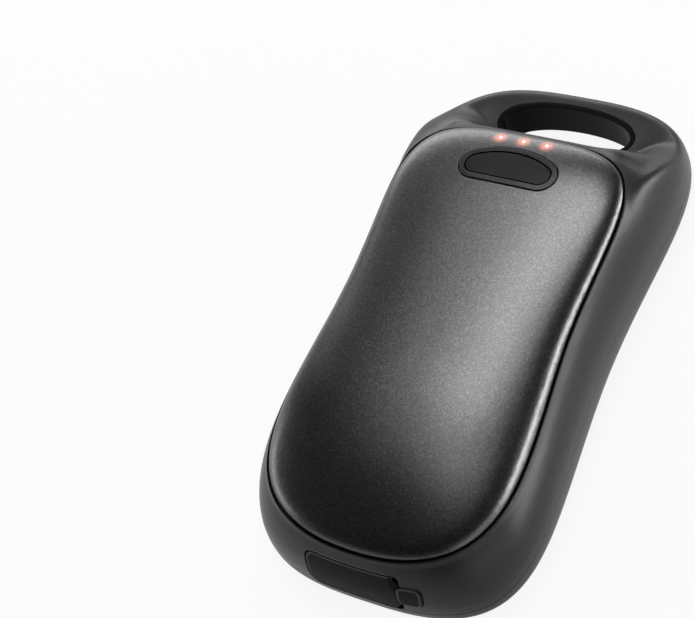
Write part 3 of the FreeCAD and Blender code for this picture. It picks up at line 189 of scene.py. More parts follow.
class Canvas:
    """The node tree of one material or world."""

    def __init__(self, owner: Union[bpy.types.Material, bpy.types.World]) -> None:
        """Starts an empty node tree.

        Args:
            owner: The material or world that the tree belongs to.
        """
        self.owner = owner
        owner.use_nodes = True
        self.tree = owner.node_tree
        self.tree.nodes.clear()

    @classmethod
    def fresh(cls, name: str) -> "Canvas":
        """The canvas of a new material."""
        return cls(bpy.data.materials.new(name))

    def node(self, kind: str, settings: Optional[dict[str, Any]] = None,
             inputs: Optional[dict[Union[str, int], Any]] = None, out: Union[str, int] = 0) -> Wire:
        """Adds any node.

        Args:
            kind: The node's type name.
            settings: Properties that are set first.
            inputs: Values or wires for sockets, by name or index.
            out: The output to return.

        Returns:
            The wire of the chosen output.
        """
        node = self.tree.nodes.new(kind)
        for key, value in (settings or {}).items():
            setattr(node, key, value)
        for key, value in (inputs or {}).items():
            self._feed(node.inputs[key], value)
        return Wire(self, node, out)

    def _feed(self, socket: bpy.types.NodeSocket, value: Any) -> None:
        """Links a wire to a socket or sets its value.

        Args:
            socket: The socket.
            value: A wire, a number, a colour without alpha or a vector.
        """
        if isinstance(value, Wire):
            self.tree.links.new(value.socket, socket)
        elif socket.type == "RGBA":
            socket.default_value = (*value, 1.0)
        else:
            socket.default_value = value

    def place(self) -> Wire:
        """Object coordinates in metres."""
        return self.node("ShaderNodeTexCoord", out="Object")

    def axis(self, name: str) -> Wire:
        """One object coordinate in metres."""
        return self.node("ShaderNodeSeparateXYZ", {}, {0: self.place()}, name)

    def distance(self, point: Point) -> Wire:
        """Distance to a point in metres."""
        return self.node("ShaderNodeVectorMath", {"operation": "DISTANCE"}, {0: self.place(), 1: point},
                         "Value")

    def noise(self, scale: float, detail: float = 3.0, roughness: float = 0.55,
              at: Optional[Wire] = None) -> Wire:
        """A noise between 0 and 1.

        Args:
            scale: Cells per metre.
            detail: Octaves.
            roughness: Weight of the fine octaves.
            at: Coordinates, the object's own if none are given.

        Returns:
            The noise's value.
        """
        return self.node("ShaderNodeTexNoise", {"noise_dimensions": "3D"},
                         {"Vector": at or self.place(), "Scale": scale, "Detail": detail,
                          "Roughness": roughness})

    def cells(self, scale: float, out: str) -> Wire:
        """Random cells, with a colour each or the distance to their middles."""
        return self.node("ShaderNodeTexVoronoi", {}, {"Vector": self.place(), "Scale": scale}, out)

    def mix(self, share: Number, first: Any, second: Any) -> Wire:
        """A mix of two colours."""
        return self.node("ShaderNodeMix", {"data_type": "RGBA"}, {0: share, 6: first, 7: second}, 2)

    def bump(self, height: Wire, depth: float, edge: float = 0.0, below: Optional[Wire] = None) -> Wire:
        """A bump normal from a height between 0 and 1.

        Args:
            height: The height.
            depth: What a height of 1 stands for, in metres.
            edge: Radius of the soft edges below the bump, in metres, or 0 for crisp ones.
            below: Another bump that this one lies on.

        Returns:
            The normal.
        """
        inputs: dict[Union[str, int], Any] = {"Height": height, "Distance": depth, "Strength": 1.0}
        if below:
            inputs["Normal"] = below
        elif edge:
            inputs["Normal"] = self.node("ShaderNodeBevel", {"samples": 6}, {"Radius": edge})
        return self.node("ShaderNodeBump", {}, inputs)

    def surface(self, **sockets: Any) -> bpy.types.Material:
        """Ends a material's tree with one Principled shader.

        Args:
            sockets: Values or wires by socket name, with _ for a space.

        Returns:
            The finished material.
        """
        inputs = {key.replace("_", " "): value for key, value in sockets.items()}
        return self.end(self.node("ShaderNodeBsdfPrincipled", {}, inputs))

    def end(self, shader: Wire, output: Output = Output.MATERIAL) -> Any:
        """Ends the tree with its output.

        Args:
            shader: What the output shows.
            output: The kind of output.

        Returns:
            The material or world.
        """
        self.node(output.value, {}, {"Surface": shader})
        return self.owner


@dataclass(frozen=True)
class MouldedPlastic:
    """A moulded plastic with a fine spark-eroded grain."""

    name: str
    colour: Colour
    roughness: float
    grain: float = 5200.0
    depth: float = 12.0 * MICRON
    specular: float = 0.5
    edge: float = 0.22 * MM
    clouds: float = 90.0
    cloud_share: float = 0.6
    tint_spread: float = 0.14
    grain_spread: float = 0.12
    cloud_spread: float = 0.06

    def material(self) -> bpy.types.Material:
        """Builds the material.

        Returns:
            The material.
        """
        canvas = Canvas.fresh(self.name)
        fine = canvas.noise(self.grain, detail=2.0)
        cloud = canvas.noise(self.clouds)
        tint = canvas.mix(cloud * self.cloud_share + fine * (1.0 - self.cloud_share),
                          shade(self.colour, 1.0 - self.tint_spread),
                          shade(self.colour, 1.0 + self.tint_spread))
        dull = self.roughness + (fine - 0.5) * self.grain_spread + (cloud - 0.5) * self.cloud_spread
        return canvas.surface(Base_Color=tint, Roughness=dull, Specular_IOR_Level=self.specular,
                              Normal=canvas.bump(fine, self.depth, self.edge))


@dataclass(frozen=True)
class Bead:
    """A soft bead along a rounded rectangle on a leaning face, in metres."""

    origin: Point
    rise: Point
    middle: float
    half: Pair
    radius: float
    inset: float = 0.3 * MM
    width: float = 0.38 * MM
    height: float = 0.2 * MM

    def on(self, canvas: Canvas) -> Wire:
        """The bead's height, from 0 beside it to 1 on its top.

        Args:
            canvas: The material's canvas.

        Returns:
            The height.
        """
        lift = ((canvas.axis("Y") - self.origin[1]) * self.rise[1]
                + (canvas.axis("Z") - self.origin[2]) * self.rise[2])
        across = abs(canvas.axis("X") - self.middle) - (self.half[0] - self.radius)
        upward = abs(lift) - (self.half[1] - self.radius)
        outside = (across.larger(0.0) ** 2.0 + upward.larger(0.0) ** 2.0) ** 0.5
        border = outside + across.larger(upward).smaller(0.0) - self.radius
        return 1.0 - abs(border + self.inset).step(0.0, self.width)


@dataclass(frozen=True)
class Rubber:
    """A dull rubber with dust in its pores and, where given, a bead along its border whose top is painted
    lighter as a highlight.
    """

    name: str
    colour: Colour
    roughness: float = 0.62
    edge: float = 0.3 * MM
    bead: Optional[Bead] = None
    # Lighter colour painted on the bead's top as a highlight.
    painted_bead_highlight: Colour = (0.085, 0.085, 0.087)
    pores: float = 3800.0
    pore_depth: float = 18.0 * MICRON
    smears: float = 260.0
    dust: Pair = (1.35, 0.004)
    smear_spread: float = 0.14
    specular: float = 0.06

    def material(self) -> bpy.types.Material:
        """Builds the material.

        Returns:
            The material.
        """
        canvas = Canvas.fresh(self.name)
        pores = canvas.noise(self.pores, detail=4.0, roughness=0.65)
        smear = canvas.noise(self.smears)
        tint = canvas.mix(smear, self.colour, shade(self.colour, *self.dust))
        below: Optional[Wire] = None
        if self.bead:
            height = self.bead.on(canvas)
            # Painted highlight: the bead's top gets the lighter colour.
            tint = canvas.mix(height, tint, self.painted_bead_highlight)
            below = canvas.bump(height, self.bead.height, self.edge)
        return canvas.surface(Base_Color=tint, Roughness=self.roughness + (smear - 0.5) * self.smear_spread,
                              Specular_IOR_Level=self.specular,
                              Normal=canvas.bump(pores, self.pore_depth, self.edge, below))


@dataclass(frozen=True)
class FlakePaint:
    """A dark metallic paint whose fine flakes glint one by one and, where lit points are given, a glow
    painted round them.
    """

    name: str
    colour: Colour
    glint: Colour
    roughness: float
    lights: tuple[Point, ...] = ()
    # Colour of the glow painted round the lit points.
    glow: Colour = (1.0, 0.27, 0.18)
    glow_share: float = 0.85
    glow_reach: Pair = (0.345 * MM, 2.3 * MM)
    flakes: float = 5600.0
    flake_glint: Pair = (0.72, 1.0)
    flake_share: float = 0.3
    grain: float = 2600.0
    grain_glint: Pair = (0.35, 0.75)
    grain_spread: float = 0.12
    depth: float = 12.0 * MICRON
    edge: float = 0.25 * MM

    def material(self) -> bpy.types.Material:
        """Builds the material.

        Returns:
            The material.
        """
        canvas = Canvas.fresh(self.name)
        flake = canvas.node("ShaderNodeSeparateColor", {}, {0: canvas.cells(self.flakes, "Color")})
        grain = canvas.noise(self.grain, roughness=0.6)
        bright = flake.step(*self.flake_glint) * 0.5 + grain.step(*self.grain_glint) * 0.5
        relief = grain * (1.0 - self.flake_share) + flake * self.flake_share
        sockets: dict[str, Any] = {
            "Base_Color": canvas.mix(bright, self.colour, self.glint),
            "Roughness": self.roughness + (grain - 0.5) * self.grain_spread,
            "Metallic": 1.0,
            "Normal": canvas.bump(relief, self.depth, self.edge),
        }
        # Painted glow: the paint itself emits the lit points' light round them.
        if self.lights:
            sockets["Emission_Color"] = self._painted_halo(canvas)
            sockets["Emission_Strength"] = 1.0
        return canvas.surface(**sockets)

    def _painted_halo(self, canvas: Canvas) -> Wire:
        """The warm light of the lit points, painted onto the paint round them as emission.

        Args:
            canvas: The paint's canvas.

        Returns:
            The light's colour.
        """
        near = [1.0 - canvas.distance(point).step(*self.glow_reach) for point in self.lights]
        spill = reduce(Wire.larger, [share * share for share in near])
        return canvas.mix(spill, BLACK, shade(self.glow, self.glow_share))


@dataclass(frozen=True)
class LitPlastic:
    """A clear moulding with a light behind it, brightest at given points."""

    name: str
    colour: Colour
    strength: float
    cores: tuple[Point, ...] = ()
    core_colour: Colour = (1.0, 0.93, 0.9)
    core_reach: Pair = (0.135 * MM, 0.45 * MM)
    haze: float = 2200.0
    haze_tint: Pair = (1.15, 0.05)
    roughness: Pair = (0.28, 0.1)

    def material(self) -> bpy.types.Material:
        """Builds the material.

        Returns:
            The material.
        """
        canvas = Canvas.fresh(self.name)
        haze = canvas.noise(self.haze, detail=2.0)
        tint = canvas.mix(haze, self.colour, shade(self.colour, *self.haze_tint))
        for core in self.cores:
            near = 1.0 - canvas.distance(core).step(*self.core_reach)
            tint = canvas.mix(near, tint, self.core_colour)
        return canvas.surface(Base_Color=tint, Roughness=self.roughness[0] + haze * self.roughness[1],
                              Emission_Color=tint, Emission_Strength=self.strength)


@dataclass(frozen=True)
class PlainMetal:
    """A drawn metal with fine lines along one direction."""

    name: str
    colour: Colour
    roughness: float
    lines: Point = (60.0, 2600.0, 2600.0)
    line_shade: float = 0.8
    line_spread: float = 0.2
    depth: float = 4.0 * MICRON

    def material(self) -> bpy.types.Material:
        """Builds the material.

        Returns:
            The material.
        """
        canvas = Canvas.fresh(self.name)
        drawn = canvas.node("ShaderNodeMapping", {}, {"Vector": canvas.place(), "Scale": self.lines})
        lines = canvas.noise(1.0, roughness=0.6, at=drawn)
        return canvas.surface(Base_Color=canvas.mix(lines, shade(self.colour, self.line_shade), self.colour),
                              Metallic=1.0, Roughness=self.roughness + (lines - 0.5) * self.line_spread,
                              Normal=canvas.bump(lines, self.depth))


@dataclass(frozen=True)
class CircuitBoard:
    """Solder mask over copper tracks, which show as a faint pattern."""

    name: str
    mask: Colour
    copper: Colour
    tracks: float = 420.0
    track_width: float = 0.03
    track_share: float = 0.6
    track_depth: float = 20.0 * MICRON
    speckles: float = 3000.0
    speckle_tint: float = 1.3
    roughness: Pair = (0.32, 0.1)

    def material(self) -> bpy.types.Material:
        """Builds the material.

        Returns:
            The material.
        """
        canvas = Canvas.fresh(self.name)
        tracks = canvas.node("ShaderNodeTexBrick", {}, {
            "Vector": canvas.place(), "Scale": self.tracks, "Mortar Size": self.track_width,
            "Color1": BLACK, "Color2": BLACK, "Mortar": WHITE}, "Fac")
        speckle = canvas.noise(self.speckles, detail=2.0)
        base = canvas.mix(speckle, self.mask, shade(self.mask, self.speckle_tint))
        return canvas.surface(Base_Color=canvas.mix(tracks * self.track_share, base, self.copper),
                              Roughness=self.roughness[0] + speckle * self.roughness[1],
                              Normal=canvas.bump(tracks, self.track_depth))


@dataclass(frozen=True)
class Foam:
    """Closed-cell foam with open pores on its skin, painted darker in the pores as shade."""

    name: str
    colour: Colour
    pores: float = 1600.0
    pore_reach: float = 0.5
    painted_pore_shade: float = 0.6
    pore_depth: float = 60.0 * MICRON
    clouds: float = 240.0
    roughness: Pair = (0.85, 0.1)

    def material(self) -> bpy.types.Material:
        """Builds the material.

        Returns:
            The material.
        """
        canvas = Canvas.fresh(self.name)
        pores = canvas.cells(self.pores, "Distance")
        # Painted shade: the pores are painted darker.
        tint = canvas.mix(pores.step(0.0, self.pore_reach), shade(self.colour, self.painted_pore_shade), self.colour)
        dull = self.roughness[0] + canvas.noise(self.clouds) * self.roughness[1]
        return canvas.surface(Base_Color=tint, Roughness=dull, Normal=canvas.bump(pores, self.pore_depth))


@dataclass(frozen=True)
class HeatingFilm:
    """Amber film with a meandering heating track."""

    name: str
    film: Colour
    track: Colour
    tracks: float = 170.0
    meander: float = 0.6
    track_edge: Pair = (0.62, 0.72)
    track_depth: float = 30.0 * MICRON
    haze: float = 900.0
    roughness: Pair = (0.3, 0.15)

    def material(self) -> bpy.types.Material:
        """Builds the material.

        Returns:
            The material.
        """
        canvas = Canvas.fresh(self.name)
        waves = canvas.node("ShaderNodeTexWave", {"wave_type": "BANDS", "bands_direction": "X"}, {
            "Vector": canvas.place(), "Scale": self.tracks, "Distortion": self.meander, "Detail": 1.0}, "Fac")
        lines = waves.step(*self.track_edge)
        haze = canvas.noise(self.haze, detail=2.0)
        return canvas.surface(Base_Color=canvas.mix(lines, self.film, self.track),
                              Roughness=self.roughness[0] + haze * self.roughness[1],
                              Normal=canvas.bump(lines, self.track_depth))


@dataclass(frozen=True)
class Paper:
    """Pale paper that is a white background to the eye and in mirrors, and keeps shadows."""

    name: str
    tints: tuple[Colour, Colour]
    glow_share: float
    fibres: float = 160.0

    def material(self) -> bpy.types.Material:
        """Builds the material.

        Returns:
            The material.
        """
        canvas = Canvas.fresh(self.name)
        tint = canvas.mix(canvas.noise(self.fibres, detail=2.0), *self.tints)
        diffuse = canvas.node("ShaderNodeBsdfDiffuse", {}, {"Color": tint})
        glow = canvas.node("ShaderNodeEmission", {}, {"Color": WHITE, "Strength": 1.0})
        seen = reduce(Wire.larger, [canvas.node("ShaderNodeLightPath", out=ray.value) for ray in Ray])
        return canvas.end(canvas.node("ShaderNodeMixShader", {},
                                      {0: seen * self.glow_share, 1: diffuse, 2: glow}))


@dataclass(frozen=True)
class Seam:
    """The waisted outline of the panel's opening, in metres, seen from the front."""

    half: float = 22.9 * MM
    spread: float = 9.0 * MM
    lean: float = 3.32 * MM
    top: float = 34.7 * MM
    nose: float = -50.4 * MM
    top_round: float = 3.6
    nose_round: float = 2.28
    step: float = 0.01 * MM

    def fullness(self, x: float, y: float) -> float:
        """How far out a place lies.

        Args:
            x: Its place across the body, in metres.
            y: Its place along the body, in metres.

        Returns:
            0 in the middle of the opening, 1 on its rim, more outside.
        """
        along = (2.0 * y - self.top - self.nose) / (self.top - self.nose)
        power = self.top_round if along > 0.0 else self.nose_round
        half = self.half - self.lean * along + self.spread * along * along
        return ((abs(x) / half) ** power + abs(along) ** power) ** (1.0 / power)

    def inset(self, place: Vector) -> float:
        """How far a place lies inside the rim.

        Args:
            place: The place, whose height doesn't matter.

        Returns:
            The distance in metres, below 0 outside.
        """
        x, y = place.xy
        here = self.fullness(x, y)
        slope = math.hypot(self.fullness(x + self.step, y) - here,
                           self.fullness(x, y + self.step) - here) / self.step
        return (1.0 - here) / max(slope, 1.0)


def refine(build: bmesh.types.BMesh, limit: float, inside: Callable[[Vector], bool],
           rounds: int = 5) -> None:
    """Halves long edges until the mesh is fine enough to be shaped.

    Args:
        build: The mesh.
        limit: The longest edge that stays, in metres.
        inside: Whether a point lies in the region to refine.
        rounds: The most rounds of halving.
    """
    for _ in range(rounds):
        long_edges = [edge for edge in build.edges if edge.calc_length() > limit
                      and all(inside(vert.co) for vert in edge.verts)]
        if not long_edges:
            return
        bmesh.ops.subdivide_edges(build, edges=long_edges, cuts=1)
        bmesh.ops.triangulate(build, faces=[face for face in build.faces if len(face.verts) > 3])


def add_piece(build: bmesh.types.BMesh, name: str) -> bpy.types.Object:
    """Puts a finished mesh into the scene.

    Args:
        build: The mesh, which is freed.
        name: The piece's name.

    Returns:
        The piece.
    """
    mesh = bpy.data.meshes.new(name)
    build.to_mesh(mesh)
    build.free()
    piece = bpy.data.objects.new(name, mesh)
    bpy.context.scene.collection.objects.link(piece)
    LOG.info("%s: %d faces", name, len(mesh.polygons))
    return piece


class Skin:
    """A smooth visible skin made from a merged copy of a CAD node."""

    def __init__(self, node: str, body: Body, slot: str, shape: Optional[Shaper] = None) -> None:
        """Copies the node, merges its loose triangles and shades it smooth.

        Args:
            node: The CAD node that the skin stands for.
            body: The body that it rides on.
            slot: The record's material slot, which is not used.
            shape: Refines the merged copy, where the node needs it.
        """
        build = bmesh.new()
        build.from_mesh(frame["nodes"][node].data)
        bmesh.ops.remove_doubles(build, verts=build.verts, dist=MERGE_DISTANCE)
        bmesh.ops.dissolve_degenerate(build, edges=build.edges, dist=MERGE_DISTANCE)
        if shape:
            shape(build)
        for face in build.faces:
            face.material_index = 0
            face.smooth = True
        for edge in build.edges:
            edge.smooth = len(edge.link_faces) == 2 and edge.calc_face_angle(math.pi) < SHARP_ANGLE
        self.piece = add_piece(build, node + "_skin")
        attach(self.piece, body.value)
        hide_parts(node)

    def dress(self, material: bpy.types.Material) -> None:
        """Gives the skin its material.

        Args:
            material: The material.
        """
        self.piece.data.materials.append(material)
        weighted = self.piece.modifiers.new("weighted_normals", "WEIGHTED_NORMAL")
        weighted.keep_sharp = True


def dress_node(node: str, material: bpy.types.Material) -> None:
    """Gives a CAD node a better material.

    Args:
        node: The node's name.
        material: Its new material.
    """
    for slot in frame["nodes"][node].material_slots:
        slot.material = material
    LOG.info("%s: %s", node, material.name)


@dataclass
class Shells:
    """The frame, the back cover and the ring in the finger hole."""

    plastic: MouldedPlastic = MouldedPlastic("charcoal_plastic", (0.0162, 0.0166, 0.0177), 0.34,
                                             specular=0.22, edge=0.4 * MM)
    ring: MouldedPlastic = MouldedPlastic("liner_plastic", (0.002, 0.002, 0.0022), 0.36, grain=6000.0,
                                          depth=6.0 * MICRON, specular=0.03)
    seam: Seam = Seam()
    seam_gap: float = 0.05 * MM
    collar_start: float = 24.0 * MM
    collar_run: float = 3.0 * MM
    collar_height: float = 19.75 * MM
    collar_fall: float = 0.22
    fall_start: float = 2.0 * MM
    loop_height: float = 7.8 * MM
    ridge: Pair = (35.3 * MM, 38.6 * MM)
    valley: float = 9.0 * MM
    valley_side: Pair = (9.0 * MM, 13.0 * MM)
    fade: Pair = (15.0 * MM, 12.5 * MM)
    softness: float = 2.0 * MM
    fineness: float = 0.5 * MM

    def collar(self, build: bmesh.types.BMesh) -> None:
        """Fills the collar between the panel's round corners and the straight ridge above the loop.

        Args:
            build: The merged copy of the frame.
        """
        refine(build, self.fineness, self._on_collar)
        for vert in build.verts:
            if self._on_collar(vert.co):
                vert.co.z += self._lift(vert.co)

    def _on_collar(self, place: Vector) -> bool:
        """Tells whether a point lies outside the panel's opening, on the upper side near the loop.

        Args:
            place: The point.

        Returns:
            Whether it does.
        """
        if place.y < self.collar_start or place.z < self.loop_height:
            return False
        return self.seam.inset(place) < self.seam_gap or place.y > self.seam.top

    def _lift(self, place: Vector) -> float:
        """How far the collar stands above the frame.

        Args:
            place: A point of the frame.

        Returns:
            The height to add, in metres.
        """
        start, end = self.ridge
        end += self.valley * ease((abs(place.x) - self.valley_side[0]) / self.valley_side[1])
        top = self.collar_height - self.collar_fall * max(0.0, place.y - self.seam.top + self.fall_start)
        missing = between((top, self.loop_height), ease((place.y - start) / (end - start))) - place.z
        lift = (missing + math.hypot(missing, self.softness) - self.softness) / 2.0
        share = 1.0 - ease((abs(place.x) - self.fade[0]) / self.fade[1])
        return max(0.0, lift) * share * ease((place.y - self.collar_start) / self.collar_run)

    def build(self) -> None:
        """Makes the skins and dresses them."""
        plastic = self.plastic.material()
        Skin("mid_frame", Body.HOUSING, "shell", self.collar).dress(plastic)
        Skin("back_cover", Body.HOUSING, "shell").dress(plastic)
        Skin("loop_liner", Body.HOUSING, "liner").dress(self.ring.material())


@dataclass
class Front:
    """The domed panel, the button with its ring, and the lit points."""

    paint: tuple[Colour, Colour] = ((0.068, 0.068, 0.0686), (0.143, 0.143, 0.144))
    paint_roughness: float = 0.33
    ring_share: float = 0.4
    cap: MouldedPlastic = MouldedPlastic("button_plastic", (0.0062, 0.0062, 0.0066), 0.36, specular=0.16)
    glow: Colour = (1.0, 0.36, 0.27)
    glow_strength: float = 0.85
    light_chip_half: float = 0.6 * MM
    pin_share: float = 0.36
    seam: Seam = Seam()
    border: float = 6.8 * MM
    fineness: float = 0.9 * MM
    roll: float = 1.4 * MM
    roll_depth: float = 0.4 * MM
    shoulder: float = 0.38 * MM
    shoulder_place: float = 1.7 * MM
    shoulder_end: Pair = (20.0 * MM, 12.0 * MM)
    crown_end: Pair = (0.0, -24.3 * MM)
    crown_reach: tuple[float, float, float] = (7.0 * MM, 16.0 * MM, 20.0 * MM)
    upward: float = 0.5

    def form(self, build: bmesh.types.BMesh) -> None:
        """Shapes the panel's edge and its crown.

        Args:
            build: The merged copy of the panel.
        """
        refine(build, self.fineness, lambda place: self.seam.inset(place) < self.border)
        self._roll_edge(build)
        build.normal_update()
        self._even_crown(build)

    def _roll_edge(self, build: bmesh.types.BMesh) -> None:
        """Fills the panel's shoulder and rolls its edge into the gap.

        Args:
            build: The refined copy of the panel.
        """
        for vert in build.verts:
            inset = max(0.0, self.seam.inset(vert.co))
            depth = max(0.0, 1.0 - inset / self.roll)
            away = inset / self.shoulder_place
            share = 1.0 - ease((vert.co.y - self.shoulder_end[0]) / self.shoulder_end[1])
            fill = self.shoulder * away * math.exp(1.0 - away) * share
            vert.co.z += fill - self.roll_depth * depth * depth

    def _even_crown(self, build: bmesh.types.BMesh) -> None:
        """Evens out the end of the crown with a surface fitted to the ring round it.

        Args:
            build: The copy of the panel with its edge rolled.
        """
        inner, middle, outer = self.crown_reach
        near = [(vert, (vert.co.xy - Vector(self.crown_end)).length) for vert in build.verts
                if vert.normal.z > self.upward]
        ring = [vert.co for vert, away in near if inner < away < outer]
        bend = np.linalg.lstsq(np.array([self._terms(place) for place in ring]),
                               np.array([place.z for place in ring]), rcond=None)[0]
        for vert, away in near:
            if away < middle:
                share = 1.0 - ease((away - inner) / (middle - inner))
                vert.co.z += (float(np.dot(bend, self._terms(vert.co))) - vert.co.z) * share

    def _terms(self, place: Vector) -> list[float]:
        """Terms of a surface that is the same on both sides of the panel's middle.

        Args:
            place: A point of the panel.

        Returns:
            The terms' values there.
        """
        scale = self.crown_reach[-1]
        x, y = place.x / scale, (place.y - self.crown_end[1]) / scale
        return [1.0, y, y * y, y ** 3, y ** 4, x * x, x * x * y, x * x * y * y, x ** 4]

    def light_points(self) -> tuple[Point, ...]:
        """Finds the three lit points on the panel.

        Returns:
            Their middles.
        """
        low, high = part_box("light_guide")
        chips_low, chips_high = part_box("indicator_leds")
        reach = (chips_high.x - chips_low.x) / 2 - self.light_chip_half
        row = high.y - (high.y - low.y) * self.pin_share
        return tuple((sign * reach, row, high.z) for sign in (-1.0, 0.0, 1.0))

    def build(self) -> None:
        """Makes the skins and dresses them."""
        points = self.light_points()
        # The panel paint carries a glow painted round the lit points.
        panel = FlakePaint("panel_paint", *self.paint, self.paint_roughness, points)
        Skin("front_panel", Body.HOUSING, "panel", self.form).dress(panel.material())
        ring = [shade(colour, self.ring_share) for colour in self.paint]
        bezel = FlakePaint("bezel_paint", *ring, self.paint_roughness)
        Skin("button_bezel", Body.HOUSING, "bezel").dress(bezel.material())
        Skin("button_cap", Body.BUTTON, "button").dress(self.cap.material())
        lit = LitPlastic("lit_points", self.glow, self.glow_strength, points)
        Skin("light_guide", Body.HOUSING, "light_guide").dress(lit.material())


@dataclass
class Nose:
    """The flap over the charging port, its anchor pad and the rubber web between them."""

    colour: Colour = (0.0046, 0.0046, 0.0048)
    roughness: float = 0.5
    hinge: Point = tuple(JOINTS["flap_hinge"]["pos_m"])
    rise: Point = tuple(JOINTS["flap_hinge"]["axis"])
    outward: float = 0.3
    flap_radius: float = 2.2 * MM
    flap_end: float = 9.3 * MM
    pad_radius: float = 1.4 * MM
    pad_reach: float = 0.7 * MM
    pad_lift: float = 0.3 * MM
    web_ends: Pair = (-0.8 * MM, 1.1 * MM)
    web_heights: Pair = (7.9 * MM, 4.6 * MM)
    web_outside: Pair = (0.7 * MM, 0.5 * MM)
    web_depth: float = 0.7 * MM
    web_cuts: int = 7

    @property
    def out(self) -> Vector:
        """The direction out of the nose's slope."""
        return Vector((1.0, 0.0, 0.0)).cross(Vector(self.rise))

    def pad(self, build: bmesh.types.BMesh) -> None:
        """Stretches the anchor's pad to the web and lifts its outside a little.

        Args:
            build: The merged copy of the anchor.
        """
        build.normal_update()
        right = max(vert.co.x for vert in build.verts)
        left = min(vert.co.x for vert in build.verts)
        out = self.out
        for vert in build.verts:
            vert.co.x -= self.pad_reach * (right - vert.co.x) / (right - left)
            if vert.normal.dot(out) > self.outward:
                vert.co += out * self.pad_lift

    def _rubber(self, name: str, sides: Pair, heights: Pair, radius: float) -> bpy.types.Material:
        """Rubber with a bead along the border of one piece, the bead's top painted lighter as a highlight.

        Args:
            name: The material's name.
            sides: Where the piece starts and ends across the nose, in metres.
            heights: Its lowest and highest point.
            radius: Its corners' radius.

        Returns:
            The material.
        """
        left, right = sides
        low, high = heights
        half = ((right - left) / 2.0, (high - low) / self.rise[2] / 2.0)
        bead = Bead(self.hinge, self.rise, (left + right) / 2.0, half, radius)
        return Rubber(name, self.colour, self.roughness, bead=bead).material()

    def web(self) -> bpy.types.Object:
        """Makes the thin rubber web, which bends when the flap opens, as a piece that keeps its shape.

        Returns:
            The web's object.
        """
        hinge, rise, out = Vector(self.hinge), Vector(self.rise), self.out
        build = bmesh.new()
        bmesh.ops.create_cube(build, size=1.0)
        across = [edge for edge in build.edges if edge.verts[0].co.x * edge.verts[1].co.x < 0.0]
        bmesh.ops.subdivide_edges(build, edges=across, cuts=self.web_cuts)
        for vert in build.verts:
            share = vert.co.x + 0.5
            height = between(self.web_heights, ease(share))
            outside = between(self.web_outside, share) + (vert.co.z - 0.5) * self.web_depth
            along = Vector((between(self.web_ends, share), 0.0, 0.0))
            vert.co = hinge + along + rise * (vert.co.y * height) + out * outside
        bmesh.ops.recalc_face_normals(build, faces=build.faces)
        for face in build.faces:
            face.smooth = True
        piece = add_piece(build, "flap_web")
        ends = [tuple(hinge + Vector((along, 0.0, 0.0))) for along in reversed(self.web_ends)]
        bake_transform(piece)
        return piece

    def build(self) -> None:
        """Makes the skins and the web and dresses them."""
        flap_low, flap_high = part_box("port_flap")
        pad_low, pad_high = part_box("flap_anchor")
        flap = self._rubber("flap_rubber", (flap_low.x, self.flap_end), (flap_low.z, flap_high.z),
                            self.flap_radius)
        pad = self._rubber("pad_rubber", (pad_low.x - self.pad_reach, pad_high.x), (pad_low.z, pad_high.z),
                           self.pad_radius)
        Skin("port_flap", Body.FLAP, "rubber").dress(flap)
        Skin("flap_anchor", Body.HOUSING, "rubber", self.pad).dress(pad)
        self.web().data.materials.append(Rubber("web_rubber", self.colour, self.roughness).material())


@dataclass
class Inside:
    """Everything that the shells hide."""

    board: CircuitBoard = CircuitBoard("circuit_board", (0.012, 0.11, 0.045), (0.5, 0.36, 0.12))
    chips: MouldedPlastic = MouldedPlastic("chip_plastic", (0.012, 0.012, 0.012), 0.55)
    carrier: MouldedPlastic = MouldedPlastic("carrier_plastic", (0.035, 0.035, 0.036), 0.5)
    steel: PlainMetal = PlainMetal("plain_steel", (0.6, 0.6, 0.61), 0.34)
    foil: PlainMetal = PlainMetal("pouch_foil", (0.72, 0.72, 0.73), 0.42, (900.0, 900.0, 900.0))
    film: HeatingFilm = HeatingFilm("heating_film", (0.5, 0.2, 0.03), (0.32, 0.11, 0.02))
    foam: Foam = Foam("pressing_foam", (0.06, 0.06, 0.062))
    seal: Rubber = Rubber("seal_rubber", (0.02, 0.02, 0.02))
    lights: LitPlastic = LitPlastic("light_chips", (1.0, 0.35, 0.18), 2.0)

    def build(self) -> None:
        """Dresses the hidden nodes."""
        groups: tuple[tuple[Finish, tuple[str, ...]], ...] = (
            (self.board, ("control_board", "charge_board")),
            (self.chips, ("tact_switch", "switch_plunger", "control_chip", "charge_chip", "power_inductor",
                          "usb_tongue", "thermistor")),
            (self.carrier, ("battery_carrier",)),
            (self.steel, ("usb_shell", "battery_tabs", "case_screws", "board_screws")),
            (self.foil, ("battery_cell", "back_heat_plate")),
            (self.film, ("front_heater", "back_heater", "ribbon_cable", "chip_capacitors")),
            (self.foam, ("front_foam", "back_foam")),
            (self.seal, ("panel_gasket",)),
            (self.lights, ("indicator_leds",)),
        )
        for finish, nodes in groups:
            material = finish.material()
            for node in nodes:
                dress_node(node, material)


@dataclass(frozen=True)
class Lamp:
    """A soft rectangular lamp, in metres and watts."""

    name: str
    place: Point
    size: Pair
    power: float

    def hang(self, target: Point) -> None:
        """Hangs the lamp.

        Args:
            target: The point that it faces.
        """
        data = bpy.data.lights.new(self.name, "AREA")
        data.shape = "RECTANGLE"
        data.size, data.size_y = self.size
        data.energy = self.power
        lamp = bpy.data.objects.new(self.name, data)
        lamp.location = self.place
        lamp.rotation_euler = (Vector(target) - Vector(self.place)).to_track_quat("-Z", "Y").to_euler()
        bpy.context.scene.collection.objects.link(lamp)


